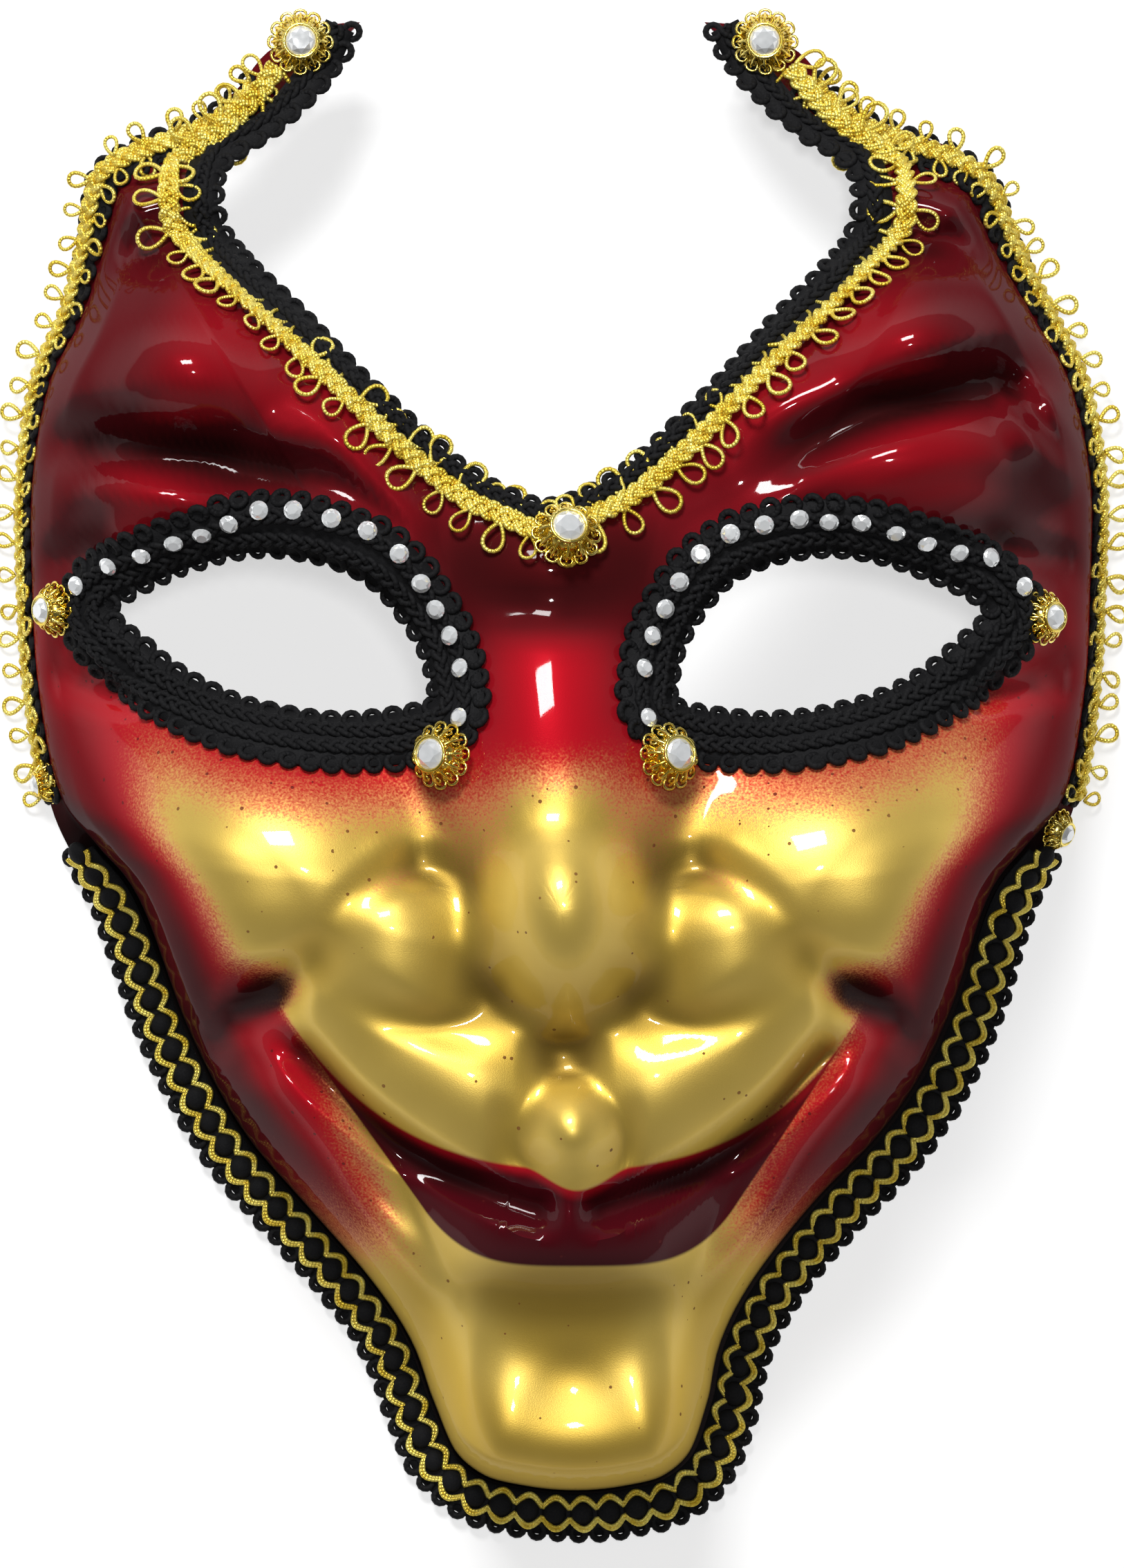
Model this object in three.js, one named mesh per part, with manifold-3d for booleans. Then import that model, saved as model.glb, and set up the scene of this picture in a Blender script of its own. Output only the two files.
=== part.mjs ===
// Horned carnival mask, lying face up on its rim.
// X runs to the viewer's right, Y from the chin up to the horns, Z out of the face. Millimetres.
import * as THREE from 'three';
import { mergeVertices } from 'three/addons/utils/BufferGeometryUtils.js';
import Module from 'manifold-3d';

const wasm = await Module();
wasm.setup();

// Driving dimensions of the moulded shell
const WALL = 1.6; // thickness of the moulding
const APEX = 56; // height of the plain dome, without the features
const CENTRE = { x: 0, y: -20 }; // where the dome is highest, on the nose
const CROWN = 2.1; // roundness of the dome in plan
const STEEP = { top: 0.95, side: 0.36, from: 10, to: 42 }; // wall by degrees from the top, low is steep
const SOFT = { turn: 20, from: 0.4 }; // angle that evens out the rim's corners, and where they come back
const SKIRT = 7; // width of the edge strip that carries the trim
const FEATURE_FADE = 0.05; // share of the dome, at its foot, over which the features die out
const LEAN = { shift: -1.25, slope: -0.031 }; // the whole face leans a little to one side
const PLACE = { x: 0.36, y: -0.2 }; // brings the middle of the part's box to the origin
const SECTORS = 60;
const RINGS = 20;
const RING_CROWDING = 1.35; // rings lie closer together towards the foot of the dome
const EVEN = { share: 0.45, places: 8, fade: 0.15 }; // evens out the face over a share of a sector's width
const CURVE_STEPS = 24; // straight steps between two rows of a smooth curve
const FOOT_STEPS = 720; // places round the rim at which the foot of the dome is known
const NORMAL_STEP = 0.8; // distance over which the slope of the face is measured
const CUT = { below: APEX / 2, depth: 2 * APEX }; // reach of the cuts through the shell

// Driving dimensions of the trims
const GAP = 0.3; // clearance between a trim and what it lies on
const SINK = 1.6; // how far a trim is drawn into the face before it is cut to fit
const EYE_BRAID = { overhang: 1.4, width: 9.4, thick: 2, step: 5 };
const NOTCH_BRAID = { thick: 1.7, step: 6 };
const NOTCH_OVERHANG = 1.2; // how far the black braid stands out past the notch
const NOTCH_CUT_POINTS = 45;
const NOTCH_EXIT = 12; // how far the cut runs on past the horn tips
const BRAID_SHOULDER = 0.55; // height of a braid's edges as a share of its middle
const GOLD_BRAID = { width: 3.7, thick: 1.6, step: 6 };
const SIDE_BRAID = { width: 5, thick: 1.5, inset: 2.7, inner: 56, top: 105, bottom: 0 };
const JAW_BRAID = { overhang: 1.1, inner: 0.6, thick: 2.1, step: 8, top: -12 };
const STONE = { radius: 1.5, table: 0.9, height: 1.2, sides: 8 };
const STONE_ROW = { count: 16, offset: 5, from: 0.005, to: 0.538, steps: 400 };
const GEM_SIDES = 10; // sides of the settings
const SEAT_SEARCH = { reach: 8, step: 0.03 }; // how a stone is lowered onto its seat

// Names the columns of a table, so that each row reads as an object.
function table(columns, rows) {
  return rows.map((row) => Object.fromEntries(columns.map((name, i) => [name, row[i]])));
}

// Edge of the shell, from the middle of the top round the right side to the chin.
// rise: height of the edge; tilt: slope of the edge strip, 0 flat and 90 upright;
// shift: how far both sides lie over to the right
const RIM = table(['x', 'y', 'rise', 'tilt', 'shift'], [
  [0, 120.5, 14, 20, 0],
  [30, 121, 14, 20, 0],
  [41.5, 117, 14, 22, 0],
  [47.4, 110.4, 15, 25, 0],
  [53, 106, 16, 28, 0],
  [60.4, 103.2, 16, 30, 0],
  [67.3, 100.4, 15, 34, 0.3],
  [72.2, 96.4, 13, 40, 0.8],
  [75.2, 86, 9, 52, 1.6],
  [79, 75.5, 5, 62, 2.6],
  [84, 64, 2, 70, 2.6],
  [86.4, 48, 0, 76, 2.4],
  [86.1, 30, 0, 78, 1.8],
  [85.1, 14, 0, 78, 1.4],
  [82.6, -3, 0, 70, 1],
  [78.3, -13, 0, 46, 0.7],
  [74.4, -20.5, 0, 22, 0.6],
  [71, -31.5, 0, 0, 0.6],
  [67.4, -41.5, 0, 0, 0.4],
  [62, -52.5, 0, 0, 0],
  [55.3, -62.3, 0, 0, -0.8],
  [46.2, -72.2, 0, 0, -1.6],
  [36.7, -83.6, 0, 0, -1.5],
  [31.3, -92.6, 0, 0, -1.1],
  [28.7, -101.5, 0, 0, -0.7],
  [24.5, -111.6, 0, 0, -0.6],
  [17.6, -117.6, 0, 0, -0.5],
  [9, -120, 0, 0, -0.4],
  [0, -120.8, 0, 0, -0.4],
]);

// Rounded swellings and hollows of the face. High box: flatter on top. High soft: softer at the foot
const SWELLS = table(['name', 'side', 'x', 'y', 'rx', 'ry', 'turn', 'lift', 'box', 'soft'], [
  ['nose', 'middle', 0, 0, 25, 52, 0, 10, 2.2, 2.8],
  ['nose ball', 'middle', 1, -22.5, 18.5, 19.5, 0, 10.5, 2.3, 2.4],
  ['nose wing', 'both', 22.5, -26.5, 16, 13.5, -8, 5.5, 2.2, 2],
  ['eye socket', 'both', 42, 21, 36, 20, 12, -6, 2.6, 2],
  ['cheek', 'both', 51, -17, 42, 31, 10, 14, 2.2, 2.3],
  ['jowl', 'both', 60, -27, 22, 22, 0, 6, 2.2, 2],
  ['muzzle', 'both', 26, -46, 35, 21, 20, 8, 2.2, 2.3],
  ['lip bead', 'middle', 0.8, -56, 9, 10.5, 0, 6.5, 2, 2],
  ['lower lip', 'middle', 0, -70, 32, 11.5, 0, 5, 2.4, 2],
  ['mouth corner', 'both', 47, -37, 8, 6, 0, -3, 2, 2],
  ['chin', 'both', 12.5, -114, 25, 30, 0, 16, 2, 2.6],
  ['left brow', 'left', 66, 66, 27, 17.5, 2, 14, 2.4, 2],
  ['right brow', 'right', 68, 73, 26, 14.5, 15, 12, 2.4, 2],
  ['left lid', 'left', 68, 44, 21, 12, -8, 6, 2.4, 2],
  ['right lid', 'right', 65, 50.5, 29, 14, 12, 8.5, 2.4, 2],
  ['temple lobe', 'right', 81, 58, 11, 14, 15, 7.5, 2.4, 1.8],
  ['brow root', 'middle', 0, 38, 30, 20, 0, 4, 2, 2],
]);

// Ridges and creases along a bent line through three points. ends: share of the length that tapers out
const FOLDS = table(['name', 'side', 'x0', 'y0', 'x1', 'y1', 'x2', 'y2', 'width', 'lift', 'ends'], [
  ['nose root', 'middle', -15, 29, 0, 27, 15, 29, 7, -2.5, 0.4],
  ['wing crease', 'both', 14, -16, 26, -14, 37, -27, 5, -1.5, 0.4],
  ['cheek rim', 'both', 24, -8, 28, -14, 37, -22, 5, 0.8, 0.45],
  ['nose foot', 'both', 35, -28, 23, -37.5, 6, -40.5, 5, -1.3, 0.4],
  ['cheek fold', 'both', 34, -23, 42, -30, 59, -34.5, 6, -2, 0.4],
  ['smile fold', 'both', 38, -33, 51, -35, 60, -47, 6, -5.5, 0.25],
  ['philtrum', 'middle', 0, -38, 0, -43, 0, -49, 8, -2, 0.4],
  ['bead groove', 'both', 8, -48, 10, -55, 7, -62, 3.5, -0.8, 0.4],
  ['mouth seam', 'both', 45, -38, 24, -58.5, 0, -68.5, 4.6, -4.5, 0.1],
  ['mouth edge', 'both', 46, -37, 34, -54, 23, -70, 3, 1.2, 0.2],
  ['jaw ridge', 'both', 54, -41, 37.5, -61, 22, -89, 8.5, 7.5, 0.25],
  ['left brow roll', 'left', 80, 66, 44, 61, 4, 38, 19, 9.5, 0.45],
  ['right brow roll', 'right', 84, 74, 46, 62, 4, 38, 15.5, 8.5, 0.45],
  ['left brow crease', 'left', 96, 57, 62, 51, 26, 46, 7, -4.5, 0.25],
  ['right brow crease', 'right', 94, 69, 61, 61, 28, 47, 6.5, -4.5, 0.25],
  ['left lid fold', 'left', 92, 46, 52, 45.5, 14, 28, 7.5, 3.5, 0.25],
  ['right lid fold', 'right', 80, 48, 55, 51, 14, 28, 7, 2.5, 0.25],
  ['left brow edge', 'left', 39, 59.5, 26.5, 47, 17, 37, 4, 2, 0.35],
  ['lobe crease', 'right', 73, 66, 77.3, 57.6, 85, 49, 3.6, -4, 0.25],
  ['horn ridge', 'both', 69, 82, 66, 97, 40, 110, 10, 3.5, 0.3],
  ['horn saddle', 'both', 40, 86, 62, 85, 92, 80, 7, -4.5, 0.25],
  ['upper temple crease', 'both', 67, 39, 80, 35, 98, 33, 4.5, -3, 0.25],
  ['lower temple crease', 'both', 62, 13, 78, 16, 98, 20, 5.5, -4, 0.25],
]);
const FOLD_STEPS = 16;

// Hole of the right eye, from its outer corner over the top to the nose and back below
const EYE = table(['x', 'y'], [
  [69.5, 27.4],
  [58, 34],
  [43.7, 37],
  [29, 33.2],
  [20.3, 23.2],
  [17.8, 15],
  [19, 11],
  [33.3, 8.9],
  [47.3, 11],
  [57.5, 15.5],
  [64, 20.6],
]);
const EYE_CUT_POINTS = 36;

// Free edge of the black braid along the notch, from the middle to the right horn's tip, and its width
const NOTCH = table(['x', 'y', 'width'], [
  [0, 43.5, 2.4],
  [7.7, 46.3, 1.9],
  [14, 50.5, 2],
  [27.2, 62.8, 2.5],
  [37.5, 74, 3.5],
  [44.5, 81, 3.9],
  [49.2, 87, 4.5],
  [50.2, 92.5, 4.6],
  [48.6, 97.5, 3.9],
  [40.8, 102.6, 3.6],
  [32.4, 111, 4.5],
  [28, 119, 4],
]);

// Middle of the metal braid along the notch, from the middle to the right horn's tip
const GOLD_PATH = table(['x', 'y'], [
  [0, 38.3],
  [7.4, 41.2],
  [14.6, 45],
  [26.3, 54.8],
  [36.9, 65],
  [47.5, 74.8],
  [55.7, 84],
  [58.5, 91],
  [56.6, 98.9],
  [50.6, 103.1],
  [44.6, 109],
  [41.2, 113.6],
]);

// Filigree settings: place and radius of the foot
const GEMS = table(['name', 'x', 'y', 'radius'], [
  ['gem_horn_left', -37.2, 117.6, 4.7],
  ['gem_horn_right', 37.2, 117.6, 4.7],
  ['gem_forehead', 2.6, 37.4, 4.9],
  ['gem_inner_eye_left', -16.5, 3.6, 4.7],
  ['gem_inner_eye_right', 16.5, 3.6, 4.7],
  ['gem_outer_eye_left', -76.6, 27, 3.9],
  ['gem_outer_eye_right', 76.6, 26, 3.9],
]);
const SIDE_GEM = { y: -5.5, radius: 3.2 };

// Profile of a setting with its stone, as shares of the foot's radius, from the foot to the stone's table
const GEM_PROFILE = table(['radius', 'height'], [
  [0, 0],
  [1, 0],
  [0.74, 0.46],
  [0.56, 0.6],
  [0.54, 0.78],
  [0.3, 1],
  [0, 1],
]);

// Mirrors a table of the right side, keeping the order round the object.
const mirrored = (rows) => rows.map((row) => ({ ...row, x: -row.x })).reverse();
const clamp = THREE.MathUtils.clamp;

// One point of the smooth curve through the rows, between row i and row i + 1
function curvePoint(rows, closed, i, t) {
  const n = rows.length;
  const pick = (j) => rows[closed ? (j + n) % n : clamp(j, 0, n - 1)];
  const [a, b, c, d] = [pick(i - 1), pick(i), pick(i + 1), pick(i + 2)];
  const point = {};
  for (const key of Object.keys(b)) {
    const linear = c[key] - a[key];
    const square = 2 * a[key] - 5 * b[key] + 4 * c[key] - d[key];
    const cube = 3 * (b[key] - c[key]) + d[key] - a[key];
    point[key] = 0.5 * (2 * b[key] + linear * t + square * t * t + cube * t * t * t);
  }
  return point;
}

// Points evenly spaced along the smooth curve through the rows, each with its left-hand normal in plan
function evenPoints(rows, closed, count) {
  const spans = closed ? rows.length : rows.length - 1;
  const dense = [];
  for (let i = 0; i < spans * CURVE_STEPS + 1; i += 1) {
    const span = Math.min(Math.floor(i / CURVE_STEPS), spans - 1);
    dense.push(curvePoint(rows, closed, span, i / CURVE_STEPS - span));
  }
  const along = [0];
  for (let i = 1; i < dense.length; i += 1) {
    along.push(along[i - 1] + Math.hypot(dense[i].x - dense[i - 1].x, dense[i].y - dense[i - 1].y));
  }
  const length = along.at(-1);
  const points = [];
  let j = 1;
  for (let k = 0; k < count; k += 1) {
    const target = (length * k) / (closed ? count : count - 1);
    while (j < dense.length - 1 && along[j] < target) j += 1;
    const t = clamp((target - along[j - 1]) / (along[j] - along[j - 1]), 0, 1);
    const point = {};
    for (const key of Object.keys(dense[0])) {
      point[key] = THREE.MathUtils.lerp(dense[j - 1][key], dense[j][key], t);
    }
    const dx = dense[j].x - dense[j - 1].x;
    const dy = dense[j].y - dense[j - 1].y;
    point.nx = -dy / Math.hypot(dx, dy);
    point.ny = dx / Math.hypot(dx, dy);
    points.push(point);
  }
  return { points, length };
}

// Edge and foot of the dome at evenly spaced places round the rim, which runs clockwise from the top
const rimRing = [...RIM, ...mirrored(RIM.slice(1, -1))].map((row) => ({ ...row, x: row.x + row.shift }));
function rimStations(count) {
  return evenPoints(rimRing, true, count).points.map((p) => {
    const tilt = THREE.MathUtils.degToRad(Math.max(0, p.tilt));
    const edge = new THREE.Vector3(p.x, p.y, Math.max(0, p.rise) + WALL * Math.cos(tilt));
    const out = new THREE.Vector3(p.nx, p.ny, 0);
    const up = new THREE.Vector3(0, 0, 1);
    const across = out.clone().multiplyScalar(-Math.cos(tilt)).addScaledVector(up, Math.sin(tilt));
    const normal = out.clone().multiplyScalar(Math.sin(tilt)).addScaledVector(up, Math.cos(tilt));
    const foot = edge.clone().addScaledVector(across, SKIRT);
    return { edge, foot, out, across, normal, cosTilt: Math.cos(tilt) };
  });
}

// Foot of the dome by direction from the centre, for the height at any place
const footByAngle = rimStations(FOOT_STEPS)
  .map((s) => ({
    angle: Math.atan2(s.foot.y - CENTRE.y, s.foot.x - CENTRE.x),
    reach: Math.hypot(s.foot.x - CENTRE.x, s.foot.y - CENTRE.y),
    z: s.foot.z,
  }))
  .sort((a, b) => a.angle - b.angle);

// Reach with the corners of the rim smoothed out, which the middle of the face follows
for (const foot of footByAngle) {
  let sum = 0;
  let weights = 0;
  for (const other of footByAngle) {
    const apart = Math.acos(clamp(Math.cos(other.angle - foot.angle), -1, 1));
    const weight = Math.max(0, 1 - (apart / THREE.MathUtils.degToRad(SOFT.turn)) ** 2);
    sum += weight * other.reach;
    weights += weight;
  }
  foot.soft = sum / weights;
}

function footAt(x, y) {
  const angle = Math.atan2(y - CENTRE.y, x - CENTRE.x);
  let low = 0;
  let high = footByAngle.length;
  while (low < high) {
    const middle = (low + high) >> 1;
    if (footByAngle[middle].angle < angle) low = middle + 1;
    else high = middle;
  }
  const a = footByAngle.at(low - 1);
  const b = footByAngle[low % footByAngle.length];
  const turn = 2 * Math.PI;
  const span = (b.angle - a.angle + turn) % turn;
  const t = span > 0 ? ((angle - a.angle + turn) % turn) / span : 0;
  return {
    reach: THREE.MathUtils.lerp(a.reach, b.reach, t),
    soft: THREE.MathUtils.lerp(a.soft, b.soft, t),
    z: THREE.MathUtils.lerp(a.z, b.z, t),
  };
}

const SIDES = { middle: [1], right: [1], left: [-1], both: [1, -1] };

function swellHeight(row, side, x, y) {
  const turn = THREE.MathUtils.degToRad(row.turn * side);
  const dx = x - row.x * side;
  const dy = y - row.y;
  const u = (dx * Math.cos(turn) + dy * Math.sin(turn)) / row.rx;
  const v = (dy * Math.cos(turn) - dx * Math.sin(turn)) / row.ry;
  return row.lift * Math.max(0, 1 - Math.hypot(u, v) ** row.box) ** row.soft;
}

function foldHeight(row, side, x, y) {
  const bend = { x: 2 * row.x1 - (row.x0 + row.x2) / 2, y: 2 * row.y1 - (row.y0 + row.y2) / 2 };
  let nearest = Infinity;
  let place = 0;
  let before = { x: row.x0, y: row.y0 };
  for (let i = 1; i <= FOLD_STEPS; i += 1) {
    const t = i / FOLD_STEPS;
    const [a, b, c] = [(1 - t) * (1 - t), 2 * t * (1 - t), t * t];
    const after = { x: a * row.x0 + b * bend.x + c * row.x2, y: a * row.y0 + b * bend.y + c * row.y2 };
    const dx = after.x - before.x;
    const dy = after.y - before.y;
    const s = clamp(((x * side - before.x) * dx + (y - before.y) * dy) / (dx * dx + dy * dy), 0, 1);
    const distance = Math.hypot(x * side - before.x - s * dx, y - before.y - s * dy);
    if (distance < nearest) {
      nearest = distance;
      place = (i - 1 + s) / FOLD_STEPS;
    }
    before = after;
  }
  const taper = THREE.MathUtils.smoothstep(Math.min(place, 1 - place), 0, row.ends);
  return row.lift * taper * Math.max(0, 1 - (nearest / row.width) ** 2) ** 2;
}

// Height of the painted face above the floor
function faceHeight(x, y) {
  const foot = footAt(x, y);
  const away = Math.hypot(x - CENTRE.x, y - CENTRE.y);
  const corner = THREE.MathUtils.smoothstep(away / foot.reach, SOFT.from, 1);
  const reach = away / THREE.MathUtils.lerp(foot.soft, foot.reach, corner);
  const turn = THREE.MathUtils.radToDeg(Math.atan2(Math.abs(x - CENTRE.x), y - CENTRE.y));
  const side = THREE.MathUtils.smoothstep(turn, STEEP.from, STEEP.to);
  const steep = THREE.MathUtils.lerp(STEEP.top, STEEP.side, side);
  const dome = foot.z + (APEX - foot.z) * Math.max(0, 1 - reach ** CROWN) ** steep;
  let features = 0;
  for (const row of SWELLS) {
    for (const side of SIDES[row.side]) features += swellHeight(row, side, x, y);
  }
  for (const row of FOLDS) {
    for (const side of SIDES[row.side]) features += foldHeight(row, side, x, y);
  }
  return dome + features * clamp((1 - reach) / FEATURE_FADE, 0, 1);
}

const facePoint = (x, y) => new THREE.Vector3(x, y, faceHeight(x, y));

function faceNormal(x, y) {
  const step = NORMAL_STEP;
  const slopeX = (faceHeight(x + step, y) - faceHeight(x - step, y)) / (2 * step);
  const slopeY = (faceHeight(x, y + step) - faceHeight(x, y - step)) / (2 * step);
  return new THREE.Vector3(-slopeX, -slopeY, 1).normalize();
}

// Geometry from points and triangles, turned so that its faces point out
function geometryFrom(points, triangles) {
  let volume = 0;
  for (const [a, b, c] of triangles) {
    volume += points[a].dot(points[b].clone().cross(points[c]));
  }
  const facing = volume < 0 ? triangles.map(([a, b, c]) => [a, c, b]) : triangles;
  const geometry = new THREE.BufferGeometry();
  geometry.setFromPoints(points);
  geometry.setIndex(facing.flat());
  return geometry;
}

// Closed skin over a row of sections, each a loop with the same number of points
function skin(sections, closed) {
  const size = sections[0].length;
  const triangles = [];
  const last = closed ? sections.length : sections.length - 1;
  for (let i = 0; i < last; i += 1) {
    const here = i * size;
    const next = ((i + 1) % sections.length) * size;
    for (let j = 0; j < size; j += 1) {
      const k = (j + 1) % size;
      triangles.push([here + j, next + j, next + k], [here + j, next + k, here + k]);
    }
  }
  if (!closed) {
    const end = (sections.length - 1) * size;
    for (let j = 1; j < size - 1; j += 1) {
      triangles.push([0, j, j + 1], [end, end + j + 1, end + j]);
    }
  }
  return geometryFrom(sections.flat(), triangles);
}

function solid(geometry) {
  const plain = geometry.clone();
  plain.deleteAttribute('normal');
  plain.deleteAttribute('uv');
  const merged = mergeVertices(plain);
  const vertProperties = Float32Array.from(merged.attributes.position.array);
  const triVerts = Uint32Array.from(merged.index.array);
  return new wasm.Manifold(new wasm.Mesh({ numProp: 3, vertProperties, triVerts }));
}

function geometryOf(manifold) {
  const mesh = manifold.getMesh();
  const geometry = new THREE.BufferGeometry();
  geometry.setAttribute('position', new THREE.Float32BufferAttribute(mesh.vertProperties, 3));
  geometry.setIndex([...mesh.triVerts]);
  return geometry;
}

// Upright prism over an outline in plan, tall enough to pass through the whole mask
function prism(outline) {
  const shape = new THREE.Shape(outline.map((p) => new THREE.Vector2(p.x, p.y)));
  const geometry = new THREE.ExtrudeGeometry(shape, { depth: CUT.depth, bevelEnabled: false });
  return geometry.translate(0, 0, -CUT.below);
}

// Shell

const stations = rimStations(SECTORS);
const ringShares = Array.from({ length: RINGS }, (_, i) => 1 - (1 - (i + 1) / RINGS) ** RING_CROWDING);

// Point of the face evened out over a small circle, so that narrow creases don't crumple the grid
function evenPoint(x, y, share) {
  const width = (2 * Math.PI * Math.hypot(x - CENTRE.x, y - CENTRE.y)) / SECTORS;
  const radius = EVEN.share * width * clamp((1 - share) / EVEN.fade, 0, 1);
  let sum = faceHeight(x, y);
  for (let i = 0; i < EVEN.places; i += 1) {
    const angle = (2 * Math.PI * i) / EVEN.places;
    sum += faceHeight(x + radius * Math.cos(angle), y + radius * Math.sin(angle));
  }
  return new THREE.Vector3(x, y, sum / (EVEN.places + 1));
}

// Grid of the painted face: for each sector its points from the centre out to the foot, then the edge
const faceGrid = stations.map((s) => [
  ...ringShares.map((share, i) => {
    if (i === RINGS - 1) return s.foot.clone();
    const x = THREE.MathUtils.lerp(CENTRE.x, s.foot.x, share);
    const y = THREE.MathUtils.lerp(CENTRE.y, s.foot.y, share);
    return evenPoint(x, y, share);
  }),
  s.edge.clone(),
]);
const faceTop = facePoint(CENTRE.x, CENTRE.y);

// Normals of the grid from its own triangles, so that an offset grid keeps an even wall
function gridNormals() {
  const points = [faceTop, ...faceGrid.flat()];
  const geometry = new THREE.BufferGeometry();
  geometry.setFromPoints(points);
  geometry.setIndex(sheetTriangles(0).flat());
  geometry.computeVertexNormals();
  const normals = geometry.attributes.normal;
  const sign = normals.getZ(0) < 0 ? -1 : 1;
  return points.map((_, i) => new THREE.Vector3().fromBufferAttribute(normals, i).multiplyScalar(sign));
}

// How far the middle of a line between two points of the grid lies off the true face
function lineError(a, b) {
  const middle = a.clone().add(b).divideScalar(2);
  return Math.abs(faceHeight(middle.x, middle.y) - middle.z);
}

// Each cell of the grid is split along the diagonal that lies closer to the face
const splitOutward = faceGrid.map((column, k) => {
  const next = faceGrid[(k + 1) % SECTORS];
  return column.slice(0, -1).map((p, i) => {
    if (i >= RINGS - 1) return true;
    return lineError(p, next[i + 1]) < lineError(column[i + 1], next[i]);
  });
});

// Triangles of one sheet of the grid, whose first point is its centre
function sheetTriangles(first) {
  const size = RINGS + 1;
  const triangles = [];
  for (let k = 0; k < SECTORS; k += 1) {
    const here = first + 1 + k * size;
    const next = first + 1 + ((k + 1) % SECTORS) * size;
    triangles.push([first, here, next]);
    for (let i = 0; i < RINGS; i += 1) {
      const [a, b, c, d] = [here + i, here + i + 1, next + i + 1, next + i];
      if (splitOutward[k][i]) triangles.push([a, b, c], [a, c, d]);
      else triangles.push([a, b, d], [b, c, d]);
    }
  }
  return triangles;
}

const normals = gridNormals();

// Sheet of the grid moved along its normals; the foot and the edge follow the edge strip instead
function offsetSheet(distance) {
  const sheet = [faceTop.clone().addScaledVector(normals[0], distance)];
  stations.forEach((s, k) => {
    faceGrid[k].forEach((p, i) => {
      const moved = p.clone();
      if (i < RINGS - 1) moved.addScaledVector(normals[1 + k * (RINGS + 1) + i], distance);
      else moved.addScaledVector(s.normal, distance);
      if (i === RINGS - 1) moved.addScaledVector(s.out, distance * s.cosTilt);
      sheet.push(moved);
    });
  });
  return sheet;
}

// Closed body between two sheets of the grid
function sheetBody(upper, lower) {
  const size = RINGS + 1;
  const below = upper.length;
  const triangles = sheetTriangles(0);
  for (const [a, b, c] of sheetTriangles(below)) triangles.push([a, c, b]);
  for (let k = 0; k < SECTORS; k += 1) {
    const here = 1 + k * size + RINGS;
    const next = 1 + ((k + 1) % SECTORS) * size + RINGS;
    triangles.push([here, below + here, below + next], [here, below + next, next]);
  }
  return geometryFrom([...upper, ...lower], triangles);
}

// Filled body under the face, raised by the clearance, that the trims are cut to fit
const raised = offsetSheet(GAP);
const seat = solid(sheetBody(raised, raised.map((p) => new THREE.Vector3(p.x, p.y, -SINK))));

// Facets of the face, for the place of a trim on them
const facePoints = offsetSheet(0);
const facets = sheetTriangles(0).map((corners) => new THREE.Triangle(...corners.map((i) => facePoints[i])));
const planOf = (v) => new THREE.Vector3(v.x, v.y, 0);
const facetPlans = facets.map((f) => new THREE.Triangle(planOf(f.a), planOf(f.b), planOf(f.c)));

// Point of the faceted face over a place in plan; past the edge of the shell it keeps the smooth height
function facetPoint(x, y) {
  const place = new THREE.Vector3(x, y, 0);
  const at = facetPlans.findIndex((plan) => plan.containsPoint(place));
  if (at < 0) return facePoint(x, y);
  const share = facetPlans[at].getBarycoord(place, new THREE.Vector3());
  const { a, b, c } = facets[at];
  return place.setZ(a.z * share.x + b.z * share.y + c.z * share.z);
}

// Path of the right eye hole's edge and of the whole notch; their normals point into the opening
const eyeLength = evenPoints(EYE, true, EYE_CUT_POINTS).length;
const notchRows = [...mirrored(NOTCH.slice(1)), ...NOTCH];
const notchLength = evenPoints(notchRows, false, NOTCH_CUT_POINTS).length;
const mirrorPath = (path) => path.map((p) => ({ ...p, x: -p.x, nx: -p.nx }));
const shifted = (p, distance) => ({ x: p.x + p.nx * distance, y: p.y + p.ny * distance });

// Hollow moulding with the eye holes and the notch cut straight through
function hollowShell() {
  const eye = evenPoints(EYE, true, EYE_CUT_POINTS).points;
  const edge = evenPoints(notchRows, false, NOTCH_CUT_POINTS).points;
  const notch = edge.map((p) => shifted(p, -NOTCH_OVERHANG));
  const clear = { x: notch.at(-1).x - NOTCH_EXIT, y: notch.at(-1).y + NOTCH_EXIT };
  const outline = [...notch, clear, { ...clear, x: -clear.x }];
  return solid(sheetBody(facePoints, offsetSheet(-WALL)))
    .subtract(solid(prism(eye)))
    .subtract(solid(prism(mirrorPath(eye).reverse())))
    .subtract(solid(prism(outline)));
}

// Braid laid on the face along a path and cut to fit it.
// reach gives how far its two edges lie from the path, towards the opening and away from it.
function faceBraid(path, closed, thick, reach) {
  const sections = path.map((p) => {
    const { near, far } = reach(p);
    const heights = [
      [near, -SINK],
      [near, GAP + thick * BRAID_SHOULDER],
      [(near + far) / 2, GAP + thick],
      [far, GAP + thick * BRAID_SHOULDER],
      [far, -SINK],
    ];
    return heights.map(([across, above]) => {
      const q = shifted(p, across);
      return facetPoint(q.x, q.y).addScaledVector(faceNormal(q.x, q.y), above);
    });
  });
  return solid(skin(sections, closed)).subtract(seat);
}

function eyeBraid(side) {
  const { overhang, width, thick, step } = EYE_BRAID;
  const right = evenPoints(EYE, true, Math.round(eyeLength / step)).points;
  const path = side > 0 ? right : mirrorPath(right);
  return faceBraid(path, true, thick, () => ({ near: overhang, far: overhang - width }));
}

function notchBraid() {
  const { thick, step } = NOTCH_BRAID;
  const path = evenPoints(notchRows, false, 2 * Math.round(notchLength / step / 2) + 1).points;
  return faceBraid(path, false, thick, (p) => ({ near: 0, far: -p.width }));
}

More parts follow.
